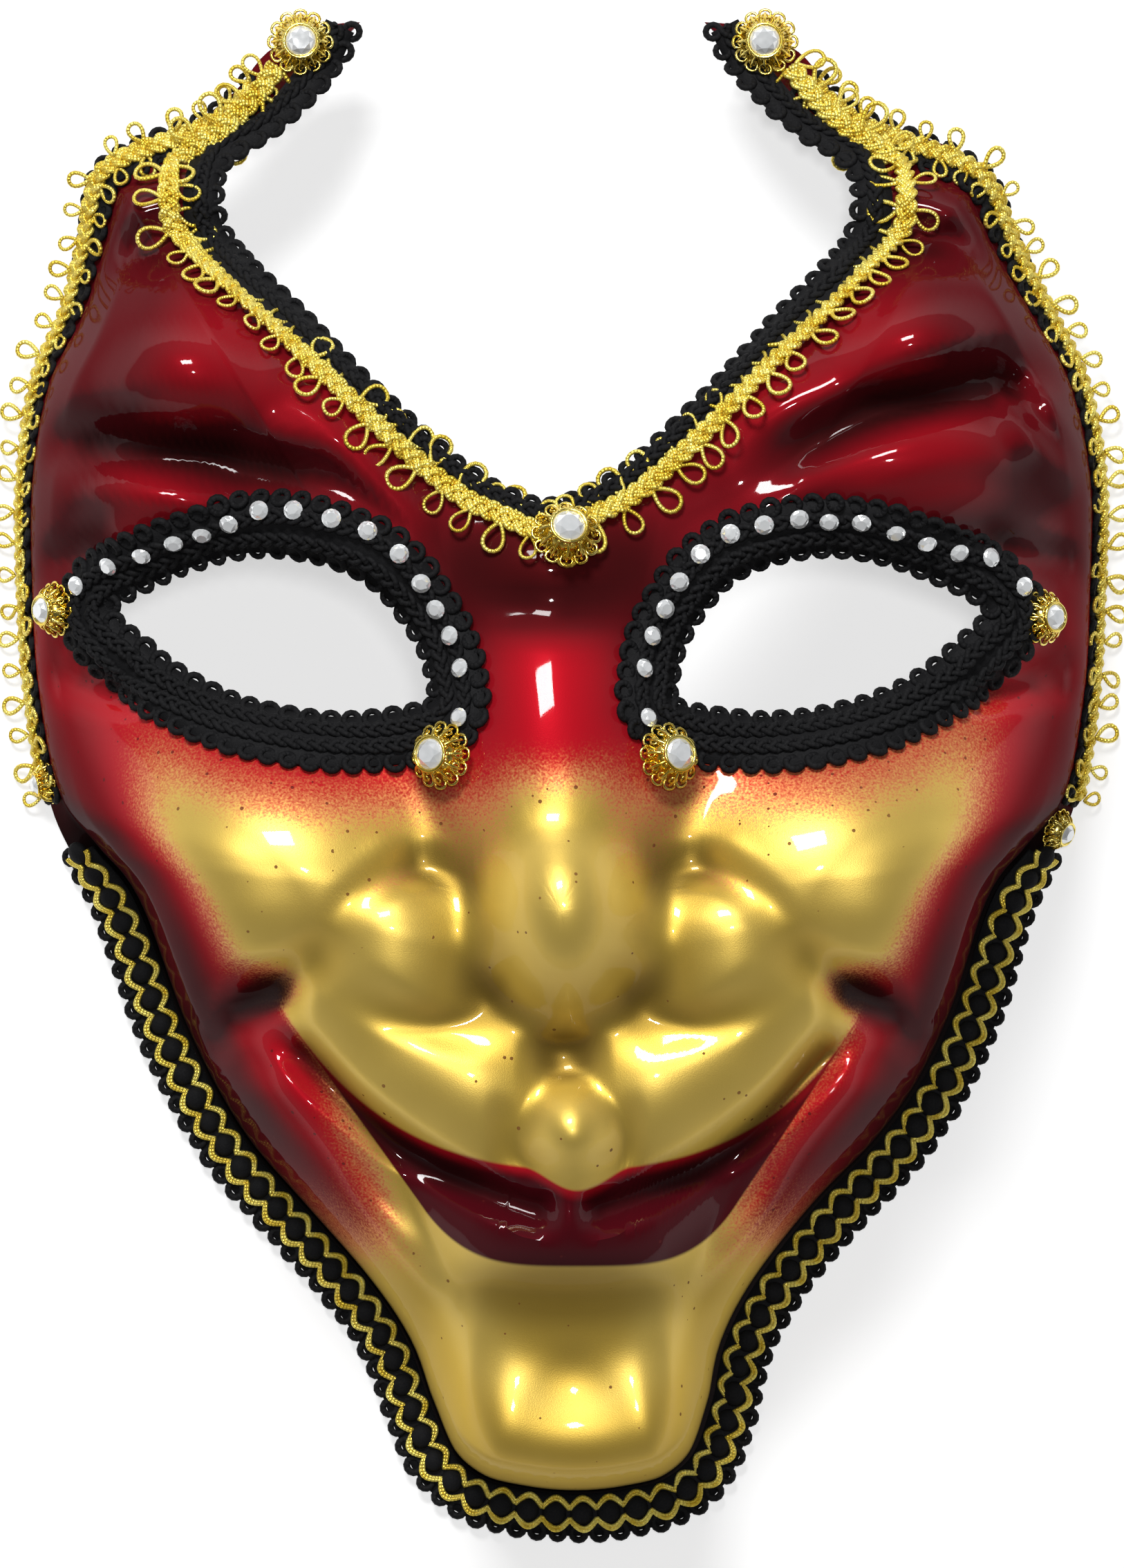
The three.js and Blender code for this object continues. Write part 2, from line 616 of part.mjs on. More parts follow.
function notchGoldBraid() {
  const { width, thick, step } = GOLD_BRAID;
  const rows = [...mirrored(GOLD_PATH.slice(1)), ...GOLD_PATH];
  const { length } = evenPoints(rows, false, rows.length);
  const path = evenPoints(rows, false, 2 * Math.round(length / step / 2) + 1).points;
  return faceBraid(path, false, thick, () => ({ near: width / 2, far: -width / 2 }));
}

// Braid laid on the edge strip, between two lines that run along it at set distances from the edge
function edgeBraid(path, thick, near, far) {
  const sections = path.map((s) => {
    const corners = [
      [near, GAP],
      [near, GAP + thick],
      [far, GAP + thick],
      [far, GAP],
    ];
    return corners.map(([across, above]) =>
      s.edge.clone().addScaledVector(s.across, across).addScaledVector(s.normal, above),
    );
  });
  return solid(skin(sections, false)).subtract(seat);
}

function sideBraid(side) {
  const { width, thick, inset, inner, top, bottom } = SIDE_BRAID;
  const outside = stations.filter((s) => s.edge.x * side > inner);
  const path = outside.filter((s) => s.edge.y < top && s.edge.y > bottom);
  return edgeBraid(path, thick, inset - width / 2, inset + width / 2);
}

function jawBraid() {
  const { overhang, inner, thick, step, top } = JAW_BRAID;
  const { length } = evenPoints(rimRing, true, SECTORS);
  const path = rimStations(2 * Math.round(length / step / 2)).filter((s) => s.edge.y < top);
  return edgeBraid(path, thick, -overhang, SKIRT - inner);
}

// Filigree setting with its stone, standing on +Z at the origin
function gemGeometry(radius) {
  const profile = GEM_PROFILE.map((p) => new THREE.Vector2(p.radius * radius, p.height * radius));
  return new THREE.LatheGeometry(profile, GEM_SIDES).rotateX(Math.PI / 2);
}

// Small faceted stone with a flat table, standing on +Z at the origin
function stoneGeometry() {
  const { radius, table: tableRadius, height, sides } = STONE;
  const geometry = new THREE.CylinderGeometry(tableRadius, radius, height, sides);
  return geometry.rotateX(Math.PI / 2).translate(0, 0, height / 2);
}

// Stands a piece on a point of the surface, square to it
function stand(geometry, point, normal) {
  const turn = new THREE.Quaternion().setFromUnitVectors(new THREE.Vector3(0, 0, 1), normal);
  return geometry.applyQuaternion(turn).translate(point.x, point.y, point.z);
}

// Lowers a piece square onto the face until it lies just clear of whatever carries it there
function seatOnFace(geometry, x, y, carriers) {
  const normal = faceNormal(x, y);
  const at = (lift) => stand(geometry.clone(), facetPoint(x, y).addScaledVector(normal, lift), normal);
  const touches = (lift) => carriers.some((carrier) => !carrier.intersect(solid(at(lift))).isEmpty());
  let [low, high] = [0, SEAT_SEARCH.reach];
  while (high - low > SEAT_SEARCH.step) {
    const middle = (low + high) / 2;
    if (touches(middle)) low = middle;
    else high = middle;
  }
  return at(high + GAP);
}

function sideGem(side) {
  const s = stations
    .filter((station) => station.edge.x * side > 0)
    .reduce((a, b) => (Math.abs(b.edge.y - SIDE_GEM.y) < Math.abs(a.edge.y - SIDE_GEM.y) ? b : a));
  const foot = s.edge.clone().addScaledVector(s.across, SKIRT / 2).addScaledVector(s.normal, GAP);
  return stand(gemGeometry(SIDE_GEM.radius), foot, s.normal);
}

// Finishes
const lacquer = { color: '#8c1a22', roughness: 0.25, metalness: 0.15 };
const gimp = { color: '#0e0d10', roughness: 0.9, metalness: 0 };
const gold = { color: '#d8b23a', roughness: 0.35, metalness: 0.9 };
const gimpAndGold = { color: '#3a3316', roughness: 0.7, metalness: 0.3 };
const crystal = { color: '#dfe5ea', roughness: 0.05, metalness: 0.1 };

const mask = new THREE.Group();

// Adds a piece, leaned over with the face and set on the part's origin
function add(name, geometry, finish) {
  geometry.applyMatrix4(new THREE.Matrix4().makeShear(0, 0, LEAN.slope, 0, 0, 0));
  geometry.translate(LEAN.shift + PLACE.x, PLACE.y, 0);
  const mesh = new THREE.Mesh(geometry, new THREE.MeshStandardMaterial(finish));
  mesh.name = name;
  mask.add(mesh);
}

const sides = [['left', -1], ['right', 1]];
const shell = hollowShell();
const notchBlack = notchBraid();
const notchGold = notchGoldBraid();
const eyeBraids = sides.map(([, side]) => eyeBraid(side));
add('shell', geometryOf(shell), lacquer);
add('notch_braid', geometryOf(notchBlack), gimp);
add('notch_gold_braid', geometryOf(notchGold), gold);
add('jaw_braid', geometryOf(jawBraid()), gimpAndGold);
sides.forEach(([name, side], i) => {
  add(`eye_braid_${name}`, geometryOf(eyeBraids[i]), gimp);
  add(`side_braid_${name}`, geometryOf(sideBraid(side)), gold);
  add(`gem_side_${name}`, sideGem(side), gold);
});

const gemCarriers = [shell, notchBlack, notchGold, ...eyeBraids];
for (const gem of GEMS) {
  add(gem.name, seatOnFace(gemGeometry(gem.radius), gem.x, gem.y, gemCarriers), gold);
}

// Row of stones over each eye, from the outer corner to the nose
const stonePath = evenPoints(EYE, true, STONE_ROW.steps).points;
for (let i = 0; i < STONE_ROW.count; i += 1) {
  const share = THREE.MathUtils.lerp(STONE_ROW.from, STONE_ROW.to, i / (STONE_ROW.count - 1));
  const p = shifted(stonePath[Math.round(share * STONE_ROW.steps)], -STONE_ROW.offset);
  const number = String(i + 1).padStart(2, '0');
  sides.forEach(([name, side], j) => {
    const stone = seatOnFace(stoneGeometry(), p.x * side, p.y, [eyeBraids[j]]);
    add(`rhinestone_${name}_${number}`, stone, crystal);
  });
}

export default mask;
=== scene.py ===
import math

import bpy
import numpy as np
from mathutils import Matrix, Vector


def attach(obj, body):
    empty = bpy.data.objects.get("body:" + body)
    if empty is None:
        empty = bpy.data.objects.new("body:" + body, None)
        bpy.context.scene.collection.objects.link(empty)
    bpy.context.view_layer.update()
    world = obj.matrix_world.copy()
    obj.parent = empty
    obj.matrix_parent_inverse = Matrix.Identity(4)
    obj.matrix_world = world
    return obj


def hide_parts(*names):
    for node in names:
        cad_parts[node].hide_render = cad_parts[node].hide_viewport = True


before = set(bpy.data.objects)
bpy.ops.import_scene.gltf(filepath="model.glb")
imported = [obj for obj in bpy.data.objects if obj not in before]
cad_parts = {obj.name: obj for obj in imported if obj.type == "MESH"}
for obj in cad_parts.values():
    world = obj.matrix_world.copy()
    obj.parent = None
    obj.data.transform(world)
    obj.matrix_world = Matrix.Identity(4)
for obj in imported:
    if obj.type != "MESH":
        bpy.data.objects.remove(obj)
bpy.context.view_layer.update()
mm = 0.001
print("frame loaded:", len(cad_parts), "nodes")


# Node boards: wires carry sockets, and arithmetic on them adds Math nodes

def pickSocket(sockets, key):
    if isinstance(key, int):
        return sockets[key]
    shown = [s for s in sockets if not s.is_unavailable]
    exact = [s for s in shown if s.identifier == key]
    named = [s for s in shown if s.name == key]
    return (exact + named)[0]


def arithmetic(operation, reflected=False):
    def apply(wire, other):
        return wire.board.math(operation, *((other, wire) if reflected else (wire, other)))

    return apply


class Wire:
    __add__, __radd__ = arithmetic("ADD"), arithmetic("ADD", True)
    __sub__, __rsub__ = arithmetic("SUBTRACT"), arithmetic("SUBTRACT", True)
    __mul__, __rmul__ = arithmetic("MULTIPLY"), arithmetic("MULTIPLY", True)
    __truediv__, __rtruediv__ = arithmetic("DIVIDE"), arithmetic("DIVIDE", True)
    __pow__, __rpow__ = arithmetic("POWER"), arithmetic("POWER", True)

    def __init__(self, board, socket):
        self.board, self.socket = board, socket

    def __getitem__(self, name):  # another output of the same node
        return Wire(self.board, pickSocket(self.socket.node.outputs, name))


class Board:
    def __init__(self, tree):
        self.tree = tree

    def node(self, kind, settings=None, inputs=None):
        made = self.tree.nodes.new(kind)
        for key, value in (settings or {}).items():
            setattr(made, key, value)
        for key, value in (inputs or {}).items():
            self.feed(pickSocket(made.inputs, key), value)
        shown = [s for s in made.outputs if not s.is_unavailable]
        return Wire(self, shown[0]) if shown else None

    def feed(self, socket, value):
        for one in value if isinstance(value, list) else [value]:  # a list feeds a joining socket
            if isinstance(one, Wire):
                self.tree.links.new(one.socket, socket)
            elif socket.type == "RGBA" and len(one) == 3:
                socket.default_value = (*one, 1)
            else:
                socket.default_value = one

    def math(self, operation, *values):
        return self.node("ShaderNodeMath", {"operation": operation}, dict(enumerate(values)))

    def most(self, a, b):
        return self.math("MAXIMUM", a, b)

    def ramp(self, value, low, high):  # smooth rise from 0 at low to 1 at high
        limits = {"Value": value, "From Min": low, "From Max": high}
        return self.node("ShaderNodeMapRange", {"interpolation_type": "SMOOTHSTEP"}, limits)

    def blend(self, share, a, b):
        colours = {"Factor_Float": share, "A_Color": a, "B_Color": b}
        return self.node("ShaderNodeMix", {"data_type": "RGBA"}, colours)["Result_Color"]

    def stretched(self, vector, size):
        return self.node("ShaderNodeVectorMath", {"operation": "SCALE"}, {"Vector": vector, "Scale": size})

    def plus(self, a, b):
        return self.node("ShaderNodeVectorMath", {"operation": "ADD"}, {0: a, 1: b})

    def axes(self, vector):
        return self.node("ShaderNodeSeparateXYZ", None, {"Vector": vector})

    def vector(self, x=0.0, y=0.0, z=0.0):
        return self.node("ShaderNodeCombineXYZ", None, {"X": x, "Y": y, "Z": z})

    def noise(self, vector, scale, detail=2.0):
        sizes = {"Vector": vector, "Scale": scale, "Detail": detail}
        return self.node("ShaderNodeTexNoise", None, sizes)

    def attribute(self, name):
        return self.node("ShaderNodeAttribute", {"attribute_name": name})["Fac"]


# Form of the moulded face, in millimetres on the plan of the face

mould = {
    "wall": 1.6,
    "apex": 56,  # height of the plain dome
    "centreY": -20,
    "crown": 2.1,  # roundness of the dome in plan
    "steepTop": 0.95,  # low is a steep wall
    "steepSide": 0.36,
    "steepTurn": (10, 42),  # degrees from the top
    "softTurn": 20,  # the corners of the rim are smoothed over this angle inside the face
    "softShare": (0.4, 1.0),
    "skirt": 7,  # edge strip that carries the trims
    "featureFade": 0.05,
    "shiftX": -0.89,
    "shiftY": -0.2,
    "lean": -0.031,  # the whole face leans a little to one side
    "sectors": 400,
    "rings": 96,
    "skirtRows": 4,
    "crowding": 1.8,  # rings lie closer together towards the foot
    "curveSteps": 24,
    "footSteps": 1440,
    "slopeStep": 0.4,
    "sharpAngle": 48,
}

# x, y, rise of the edge, tilt of the edge strip, shift of both sides to the right
rimRows = [
    (0, 120.5, 14, 20, 0),
    (30, 121, 14, 20, 0),
    (41.5, 117, 14, 22, 0),
    (47.4, 110.4, 15, 25, 0),
    (53, 106, 16, 28, 0),
    (60.4, 103.2, 16, 30, 0),
    (67.3, 100.4, 15, 34, 0.3),
    (72.2, 96.4, 13, 40, 0.8),
    (75.2, 86, 9, 52, 1.6),
    (79, 75.5, 5, 62, 2.6),
    (84, 64, 2, 70, 2.6),
    (86.4, 48, 0, 76, 2.4),
    (86.1, 30, 0, 78, 1.8),
    (85.1, 14, 0, 78, 1.4),
    (82.6, -3, 0, 70, 1),
    (78.3, -13, 0, 46, 0.7),
    (74.4, -20.5, 0, 22, 0.6),
    (71, -31.5, 0, 0, 0.6),
    (67.4, -41.5, 0, 0, 0.4),
    (62, -52.5, 0, 0, 0),
    (55.3, -62.3, 0, 0, -0.8),
    (46.2, -72.2, 0, 0, -1.6),
    (36.7, -83.6, 0, 0, -1.5),
    (31.3, -92.6, 0, 0, -1.1),
    (28.7, -101.5, 0, 0, -0.7),
    (24.5, -111.6, 0, 0, -0.6),
    (17.6, -117.6, 0, 0, -0.5),
    (9, -120, 0, 0, -0.4),
    (0, -120.8, 0, 0, -0.4),
]

# name, sides, x, y, half width, half height, turn, lift, firmness, softness at its edge
swells = [
    ("nose", "m", 0, 0, 25, 52, 0, 10, 2.2, 2.8),
    ("nose ball", "m", 1, -22.5, 18.5, 19.5, 0, 10.5, 2.3, 2.4),
    ("nose wing", "lr", 22.5, -26.5, 16, 13.5, -8, 5.5, 2.2, 2),
    ("eye socket", "lr", 42, 21, 36, 20, 12, -6, 2.6, 2),
    ("cheek", "lr", 51, -17, 42, 31, 10, 14, 2.2, 2.3),
    ("jowl", "lr", 60, -27, 22, 22, 0, 6, 2.2, 2),
    ("muzzle", "lr", 26, -46, 35, 21, 20, 8, 2.2, 2.3),
    ("lip bead", "m", 0.8, -56, 9, 10.5, 0, 6.5, 2, 2),
    ("lower lip", "m", 0, -70, 32, 11.5, 0, 5, 2.4, 2),
    ("mouth corner", "lr", 47, -37, 8, 6, 0, -3, 2, 2),
    ("chin", "lr", 12.5, -114, 25, 30, 0, 16, 2, 2.6),
    ("left brow", "l", 66, 66, 27, 17.5, 2, 14, 2.4, 2),
    ("right brow", "r", 68, 73, 26, 14.5, 15, 12, 2.4, 2),
    ("left lid", "l", 68, 44, 21, 12, -8, 6, 2.4, 2),
    ("right lid", "r", 65, 50.5, 29, 14, 12, 8.5, 2.4, 2),
    ("temple lobe", "r", 81, 58, 11, 14, 15, 7.5, 2.4, 1.8),
    ("brow root", "m", 0, 38, 30, 20, 0, 4, 2, 2),
]

# name, sides, three points of a bent line, width, lift, share that tapers out
folds = [
    ("nose root", "m", (-15, 29), (0, 27), (15, 29), 7, -2.5, 0.4),
    ("wing crease", "lr", (14, -16), (26, -14), (37, -27), 5, -1.5, 0.4),
    ("cheek rim", "lr", (24, -8), (28, -14), (37, -22), 5, 0.8, 0.45),
    ("nose foot", "lr", (35, -28), (23, -37.5), (6, -40.5), 5, -1.3, 0.4),
    ("cheek fold", "lr", (34, -23), (42, -30), (59, -34.5), 6, -2, 0.4),
    ("smile fold", "lr", (38, -33), (51, -35), (60, -47), 6, -5.5, 0.25),
    ("philtrum", "m", (0, -38), (0, -43), (0, -49), 8, -2, 0.4),
    ("bead groove", "lr", (8, -48), (10, -55), (7, -62), 3.5, -0.8, 0.4),
    ("mouth seam", "lr", (45, -38), (24, -58.5), (0, -68.5), 4.6, -4.5, 0.1),
    ("mouth edge", "lr", (46, -37), (34, -54), (23, -70), 3, 1.2, 0.2),
    ("jaw ridge", "lr", (54, -41), (37.5, -61), (22, -89), 8.5, 7.5, 0.25),
    ("left brow roll", "l", (80, 66), (44, 61), (4, 38), 19, 9.5, 0.45),
    ("right brow roll", "r", (84, 74), (46, 62), (4, 38), 15.5, 8.5, 0.45),
    ("left brow crease", "l", (96, 57), (62, 51), (26, 46), 7, -4.5, 0.25),
    ("right brow crease", "r", (94, 69), (61, 61), (28, 47), 6.5, -4.5, 0.25),
    ("left lid fold", "l", (92, 46), (52, 45.5), (14, 28), 7.5, 3.5, 0.25),
    ("right lid fold", "r", (80, 48), (55, 51), (14, 28), 7, 2.5, 0.25),
    ("left brow edge", "l", (39, 59.5), (26.5, 47), (17, 37), 4, 2, 0.35),
    ("lobe crease", "r", (73, 66), (77.3, 57.6), (85, 49), 3.6, -4, 0.25),
    ("horn ridge", "lr", (69, 82), (66, 97), (40, 110), 10, 3.5, 0.3),
    ("horn saddle", "lr", (40, 86), (62, 85), (92, 80), 7, -4.5, 0.25),
    ("upper temple crease", "lr", (67, 39), (80, 35), (98, 33), 4.5, -3, 0.25),
    ("lower temple crease", "lr", (62, 13), (78, 16), (98, 20), 5.5, -4, 0.25),
]
foldSteps = 16

# Hole of the right eye, from its outer corner over the top to the nose and back below
eyeRows = [
    (69.5, 27.4),
    (58, 34),
    (43.7, 37),
    (29, 33.2),
    (20.3, 23.2),
    (17.8, 15),
    (19, 11),
    (33.3, 8.9),
    (47.3, 11),
    (57.5, 15.5),
    (64, 20.6),
]

# x, y, width of the black braid along its free edge, from the middle to the right horn's tip
notchRows = [
    (0, 43.5, 2.4),
    (7.7, 46.3, 1.9),
    (14, 50.5, 2),
    (27.2, 62.8, 2.5),
    (37.5, 74, 3.5),
    (44.5, 81, 3.9),
    (49.2, 87, 4.5),
    (50.2, 92.5, 4.6),
    (48.6, 97.5, 3.9),
    (40.8, 102.6, 3.6),
    (32.4, 111, 4.5),
    (28, 119, 4),
]

# Middle of the metal braid along the notch
goldRows = [
    (0, 38.3),
    (7.4, 41.2),
    (14.6, 45),
    (26.3, 54.8),
    (36.9, 65),
    (47.5, 74.8),
    (55.7, 84),
    (58.5, 91),
    (56.6, 98.9),
    (50.6, 103.1),
    (44.6, 109),
    (41.2, 113.6),
]


def mirrored(rows):  # the other half, in the order round the object
    return [(-row[0], *row[1:]) for row in reversed(rows)]


def bothHalves(rows):
    return mirrored(rows[1:]) + rows


def smoothRamp(value, low, high):
    t = np.clip((value - low) / (high - low), 0, 1)
    return t * t * (3 - 2 * t)


def unit(vectors):
    return vectors / np.maximum(np.linalg.norm(vectors, axis=-1, keepdims=True), 1e-12)


def smoothCurve(rows, closed):
    rows = np.asarray(rows, float)
    count, steps = len(rows), mould["curveSteps"]
    spans = count if closed else count - 1
    span = np.repeat(np.arange(spans), steps)
    t = np.tile(np.arange(steps) / steps, spans)[:, None]

    def pick(i):
        return rows[i % count] if closed else rows[np.clip(i, 0, count - 1)]

    a, b, c, d = pick(span - 1), pick(span), pick(span + 1), pick(span + 2)
    square = 2 * a - 5 * b + 4 * c - d
    cube = 3 * (b - c) + d - a
    curve = 0.5 * (2 * b + (c - a) * t + square * t**2 + cube * t**3)
    return np.vstack([curve, rows[:1] if closed else rows[-1:]])


def tangents(points, closed):
    if closed:
        return unit(np.roll(points, -1, axis=0) - np.roll(points, 1, axis=0))
    return unit(np.gradient(points, axis=0))


def evenRows(rows, closed, spacing):  # evenly spaced rows and their left-hand normals in plan
    dense = smoothCurve(rows, closed)
    steps = np.linalg.norm(np.diff(dense[:, :2], axis=0), axis=1)
    along = np.concatenate([[0], np.cumsum(steps)])
    count = max(3, round(along[-1] / spacing)) + (0 if closed else 1)
    places = np.linspace(0, along[-1], count, endpoint=not closed)
    even = np.stack([np.interp(places, along, column) for column in dense.T], axis=1)
    way = tangents(even[:, :2], closed)
    return even, np.stack([-way[:, 1], way[:, 0]], axis=1)


rimRing = [(row[0] + row[4], *row[1:4]) for row in rimRows + mirrored(rimRows[1:-1])]
rimLength = np.linalg.norm(np.diff(smoothCurve(rimRing, True)[:, :2], axis=0), axis=1).sum()


def rimStations(count):  # edge, foot and directions of the edge strip, clockwise from the top
    even, out = evenRows(rimRing, True, rimLength / count)
    tilt = np.radians(np.maximum(0, even[:, 3]))[:, None]
    out = np.column_stack([out, np.zeros(len(out))])
    up = np.array([0, 0, 1.0])
    edge = np.column_stack([even[:, :2], np.maximum(0, even[:, 2]) + mould["wall"] * np.cos(tilt[:, 0])])
    across = up * np.sin(tilt) - out * np.cos(tilt)
    normal = out * np.sin(tilt) + up * np.cos(tilt)
    foot = edge + across * mould["skirt"]
    return {"edge": edge, "foot": foot, "out": out, "across": across, "normal": normal, "flat": np.cos(tilt)}


def footRing():  # foot of the dome by direction from its centre
    ring = rimStations(mould["footSteps"])
    x, y = ring["foot"][:, 0], ring["foot"][:, 1] - mould["centreY"]
    angle, reach = np.arctan2(y, x), np.hypot(x, y)
    apart = np.abs(np.angle(np.exp(1j * (angle[:, None] - angle[None, :]))))
    near = np.maximum(0, 1 - (apart / math.radians(mould["softTurn"])) ** 2)
    soft = (near @ reach) / near.sum(axis=1)  # reach without the corners, for the middle of the face
    order = np.argsort(angle)
    return [column[order] for column in (angle, reach, soft, ring["foot"][:, 2])]


footAngle, footReach, footSoft, footZ = footRing()
sideSigns = {"m": (1,), "r": (1,), "l": (-1,), "lr": (1, -1)}


def reachAt(x, y):  # share of the way from the centre to the foot, with the foot's height and steepness
    up = y - mould["centreY"]
    angle, away = np.arctan2(up, x), np.hypot(x, up)
    columns = (footReach, footSoft, footZ)
    reach, soft, z = (np.interp(angle, footAngle, column, period=2 * np.pi) for column in columns)
    share = smoothRamp(away / reach, *mould["softShare"])
    side = smoothRamp(np.degrees(np.arctan2(np.abs(x), up)), *mould["steepTurn"])
    steep = mould["steepTop"] + (mould["steepSide"] - mould["steepTop"]) * side
    return away / (soft + (reach - soft) * share), z, steep


def swellShare(row, side, x, y):
    turn = math.radians(row[6] * side)
    dx, dy = x - row[2] * side, y - row[3]
    u = (dx * math.cos(turn) + dy * math.sin(turn)) / row[4]
    v = (dy * math.cos(turn) - dx * math.sin(turn)) / row[5]
    return np.maximum(0, 1 - np.hypot(u, v) ** row[8]) ** row[9]


def foldShare(row, side, x, y):
    start, middle, end = (np.array(p, float) for p in row[2:5])
    bend = 2 * middle - (start + end) / 2
    t = np.linspace(0, 1, foldSteps + 1)[:, None]
    line = (1 - t) ** 2 * start + 2 * t * (1 - t) * bend + t**2 * end
    nearest, place = np.full(np.shape(x), np.inf), np.zeros(np.shape(x))
    for i in range(foldSteps):
        ax, ay = line[i]
        dx, dy = line[i + 1] - line[i]
        s = np.clip(((x * side - ax) * dx + (y - ay) * dy) / (dx * dx + dy * dy), 0, 1)
        distance = np.hypot(x * side - ax - s * dx, y - ay - s * dy)
        closer = distance < nearest
        nearest = np.where(closer, distance, nearest)
        place = np.where(closer, (i + s) / foldSteps, place)
    taper = smoothRamp(np.minimum(place, 1 - place), 0, row[7])
    return taper * np.maximum(0, 1 - (nearest / row[5]) ** 2) ** 2


def faceHeight(x, y):
    reach, z, steep = reachAt(x, y)
    dome = z + (mould["apex"] - z) * np.maximum(0, 1 - reach ** mould["crown"]) ** steep
    features = 0
    for row in swells:
        for side in sideSigns[row[1]]:
            features = features + row[7] * swellShare(row, side, x, y)
    for row in folds:
        for side in sideSigns[row[1]]:
            features = features + row[6] * foldShare(row, side, x, y)
    return dome + features * np.clip((1 - reach) / mould["featureFade"], 0, 1)


def toFrame(points):  # millimetres on the face to metres in the frame
    x = points[..., 0] + mould["shiftX"] + mould["lean"] * points[..., 1]
    return np.stack([x, points[..., 1] + mould["shiftY"], points[..., 2]], axis=-1) * mm


def toPlan(points):  # the way back, in plan
    y = points[:, 1] / mm - mould["shiftY"]
    return points[:, 0] / mm - mould["shiftX"] - mould["lean"] * y, y


# Objects and paths

def meshObject(name, points, faces=(), edges=()):
    mesh = bpy.data.meshes.new(name)
    mesh.from_pydata([tuple(p) for p in points], list(edges), list(faces))
    made = bpy.data.objects.new(name, mesh)
    bpy.context.scene.collection.objects.link(made)
    return made


def setVectors(mesh, name, values):
    layer = mesh.attributes.new(name, "FLOAT_VECTOR", "POINT")
    layer.data.foreach_set("vector", np.ascontiguousarray(values, np.float32).ravel())


def setValues(mesh, name, values):
    layer = mesh.attributes.new(name, "FLOAT", "POINT")
    layer.data.foreach_set("value", np.ascontiguousarray(values, np.float32))


def vertexVectors(rows, key):
    values = np.empty(len(rows) * 3, np.float32)
    rows.foreach_get(key, values)
    return values.reshape(-1, 3)


def facePath(rows, closed, spacing, shift=0.0, lift=0.0):  # a line on the face beside a curve in plan
    even, normal = evenRows(rows, closed, spacing)
    shift = shift(even) if callable(shift) else shift

    def at(offset):
        plan = even[:, :2] + normal * np.reshape(offset, (-1, 1))
        return toFrame(np.column_stack([plan, faceHeight(plan[:, 0], plan[:, 1])]))

    step = mould["slopeStep"]
    points = at(shift)
    across = unit(at(shift + step) - at(shift - step))
    up = unit(np.cross(tangents(points, closed), across))
    return {"points": points + up * lift * mm, "across": across, "up": up, "closed": closed}


def edgePath(keep, spacing, inset, lift):  # a line along the edge strip, where keep says so
    ring = rimStations(round(rimLength / spacing))
    chosen = np.flatnonzero(keep(ring["edge"]))
    breaks = np.flatnonzero(np.diff(chosen) > 1)
    if len(breaks):
        chosen = np.roll(chosen, -(breaks[0] + 1))
    low, steep = inset if isinstance(inset, tuple) else (inset, 0.0)
    stands = np.sqrt(1 - ring["flat"] ** 2)  # steep is added where the strip stands up
    flat = ring["edge"] + ring["across"] * (low + steep * stands)
    points = toFrame(flat + ring["normal"] * lift)[chosen]
    across = unit(toFrame(flat - ring["across"]) - toFrame(flat))[chosen]
    up = unit(np.cross(tangents(points, False), across))
    return {"points": points, "across": across, "up": up, "closed": False, "stands": stands[chosen]}


def oneSide(path, side, splay, skip):  # the path seen from one side, its loops bent up by splay
    bend = np.reshape(splay, (-1, 1))
    across = path["across"] * side * np.cos(bend) + path["up"] * np.sin(bend)
    up = path["up"] * np.cos(bend) - path["across"] * side * np.sin(bend)
    rows = {"points": path["points"], "across": across, "up": up}
    return {"closed": path["closed"]} | {key: values[skip:] for key, values in rows.items()}


def pathObject(name, paths):
    edges, first = [], 0
    for path in paths:
        count = len(path["points"])
        edges += [(first + i, first + i + 1) for i in range(count - 1)]
        if path["closed"]:
            edges.append((first + count - 1, first))
        first += count
    made = meshObject(name, np.vstack([path["points"] for path in paths]), edges=edges)
    for key in ("across", "up"):
        setVectors(made.data, key, np.vstack([path[key] for path in paths]))
    return made


def plainMesh(made):  # the object keeps only the finished mesh
    depsgraph = bpy.context.evaluated_depsgraph_get()
    mesh = bpy.data.meshes.new_from_object(made.evaluated_get(depsgraph))
    mesh.name = made.name
    made.modifiers.clear()
    made.data = mesh
    return made


def grow(made, tree, **sizes):  # runs a geometry tree on an object and keeps the plain result
    modifier = made.modifiers.new(tree.name, "NODES")
    modifier.node_group = tree
    for item in tree.interface.items_tree:
        if item.in_out == "INPUT" and item.name in sizes:
            modifier[item.identifier] = sizes[item.name]
    return plainMesh(made)


def joined(name, parts):
    with bpy.context.temp_override(active_object=parts[0], object=parts[0], selected_editable_objects=parts):
        bpy.ops.object.join()
    parts[0].name = parts[0].data.name = name
    return parts[0]


def finishPiece(made, slot, *nodes):
    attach(made, "root")
    if nodes:
        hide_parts(*nodes)
    print("piece:", made.name, len(made.data.polygons), "faces")
    return made


# Finishes

def newFinish(name):
    made = bpy.data.materials.new(name)
    made.use_nodes = True
    made.node_tree.nodes.clear()
    board = Board(made.node_tree)
    place = board.node("ShaderNodeTexCoord")["Object"]
    return made, board, place


def shade(board, sockets):
    shader = board.node("ShaderNodeBsdfPrincipled", None, sockets)
    board.node("ShaderNodeOutputMaterial", None, {"Surface": shader})


def bump(board, height, strength, distance):
    return board.node("ShaderNodeBump", None, {"Height": height, "Strength": strength, "Distance": distance})


def graded(value, least, added):
    return value * added + least


def twisted(board, pitch):  # ridges of a twisted cord
    return board.math("SINE", board.attribute("along") * (2 * math.pi / (pitch * mm)))


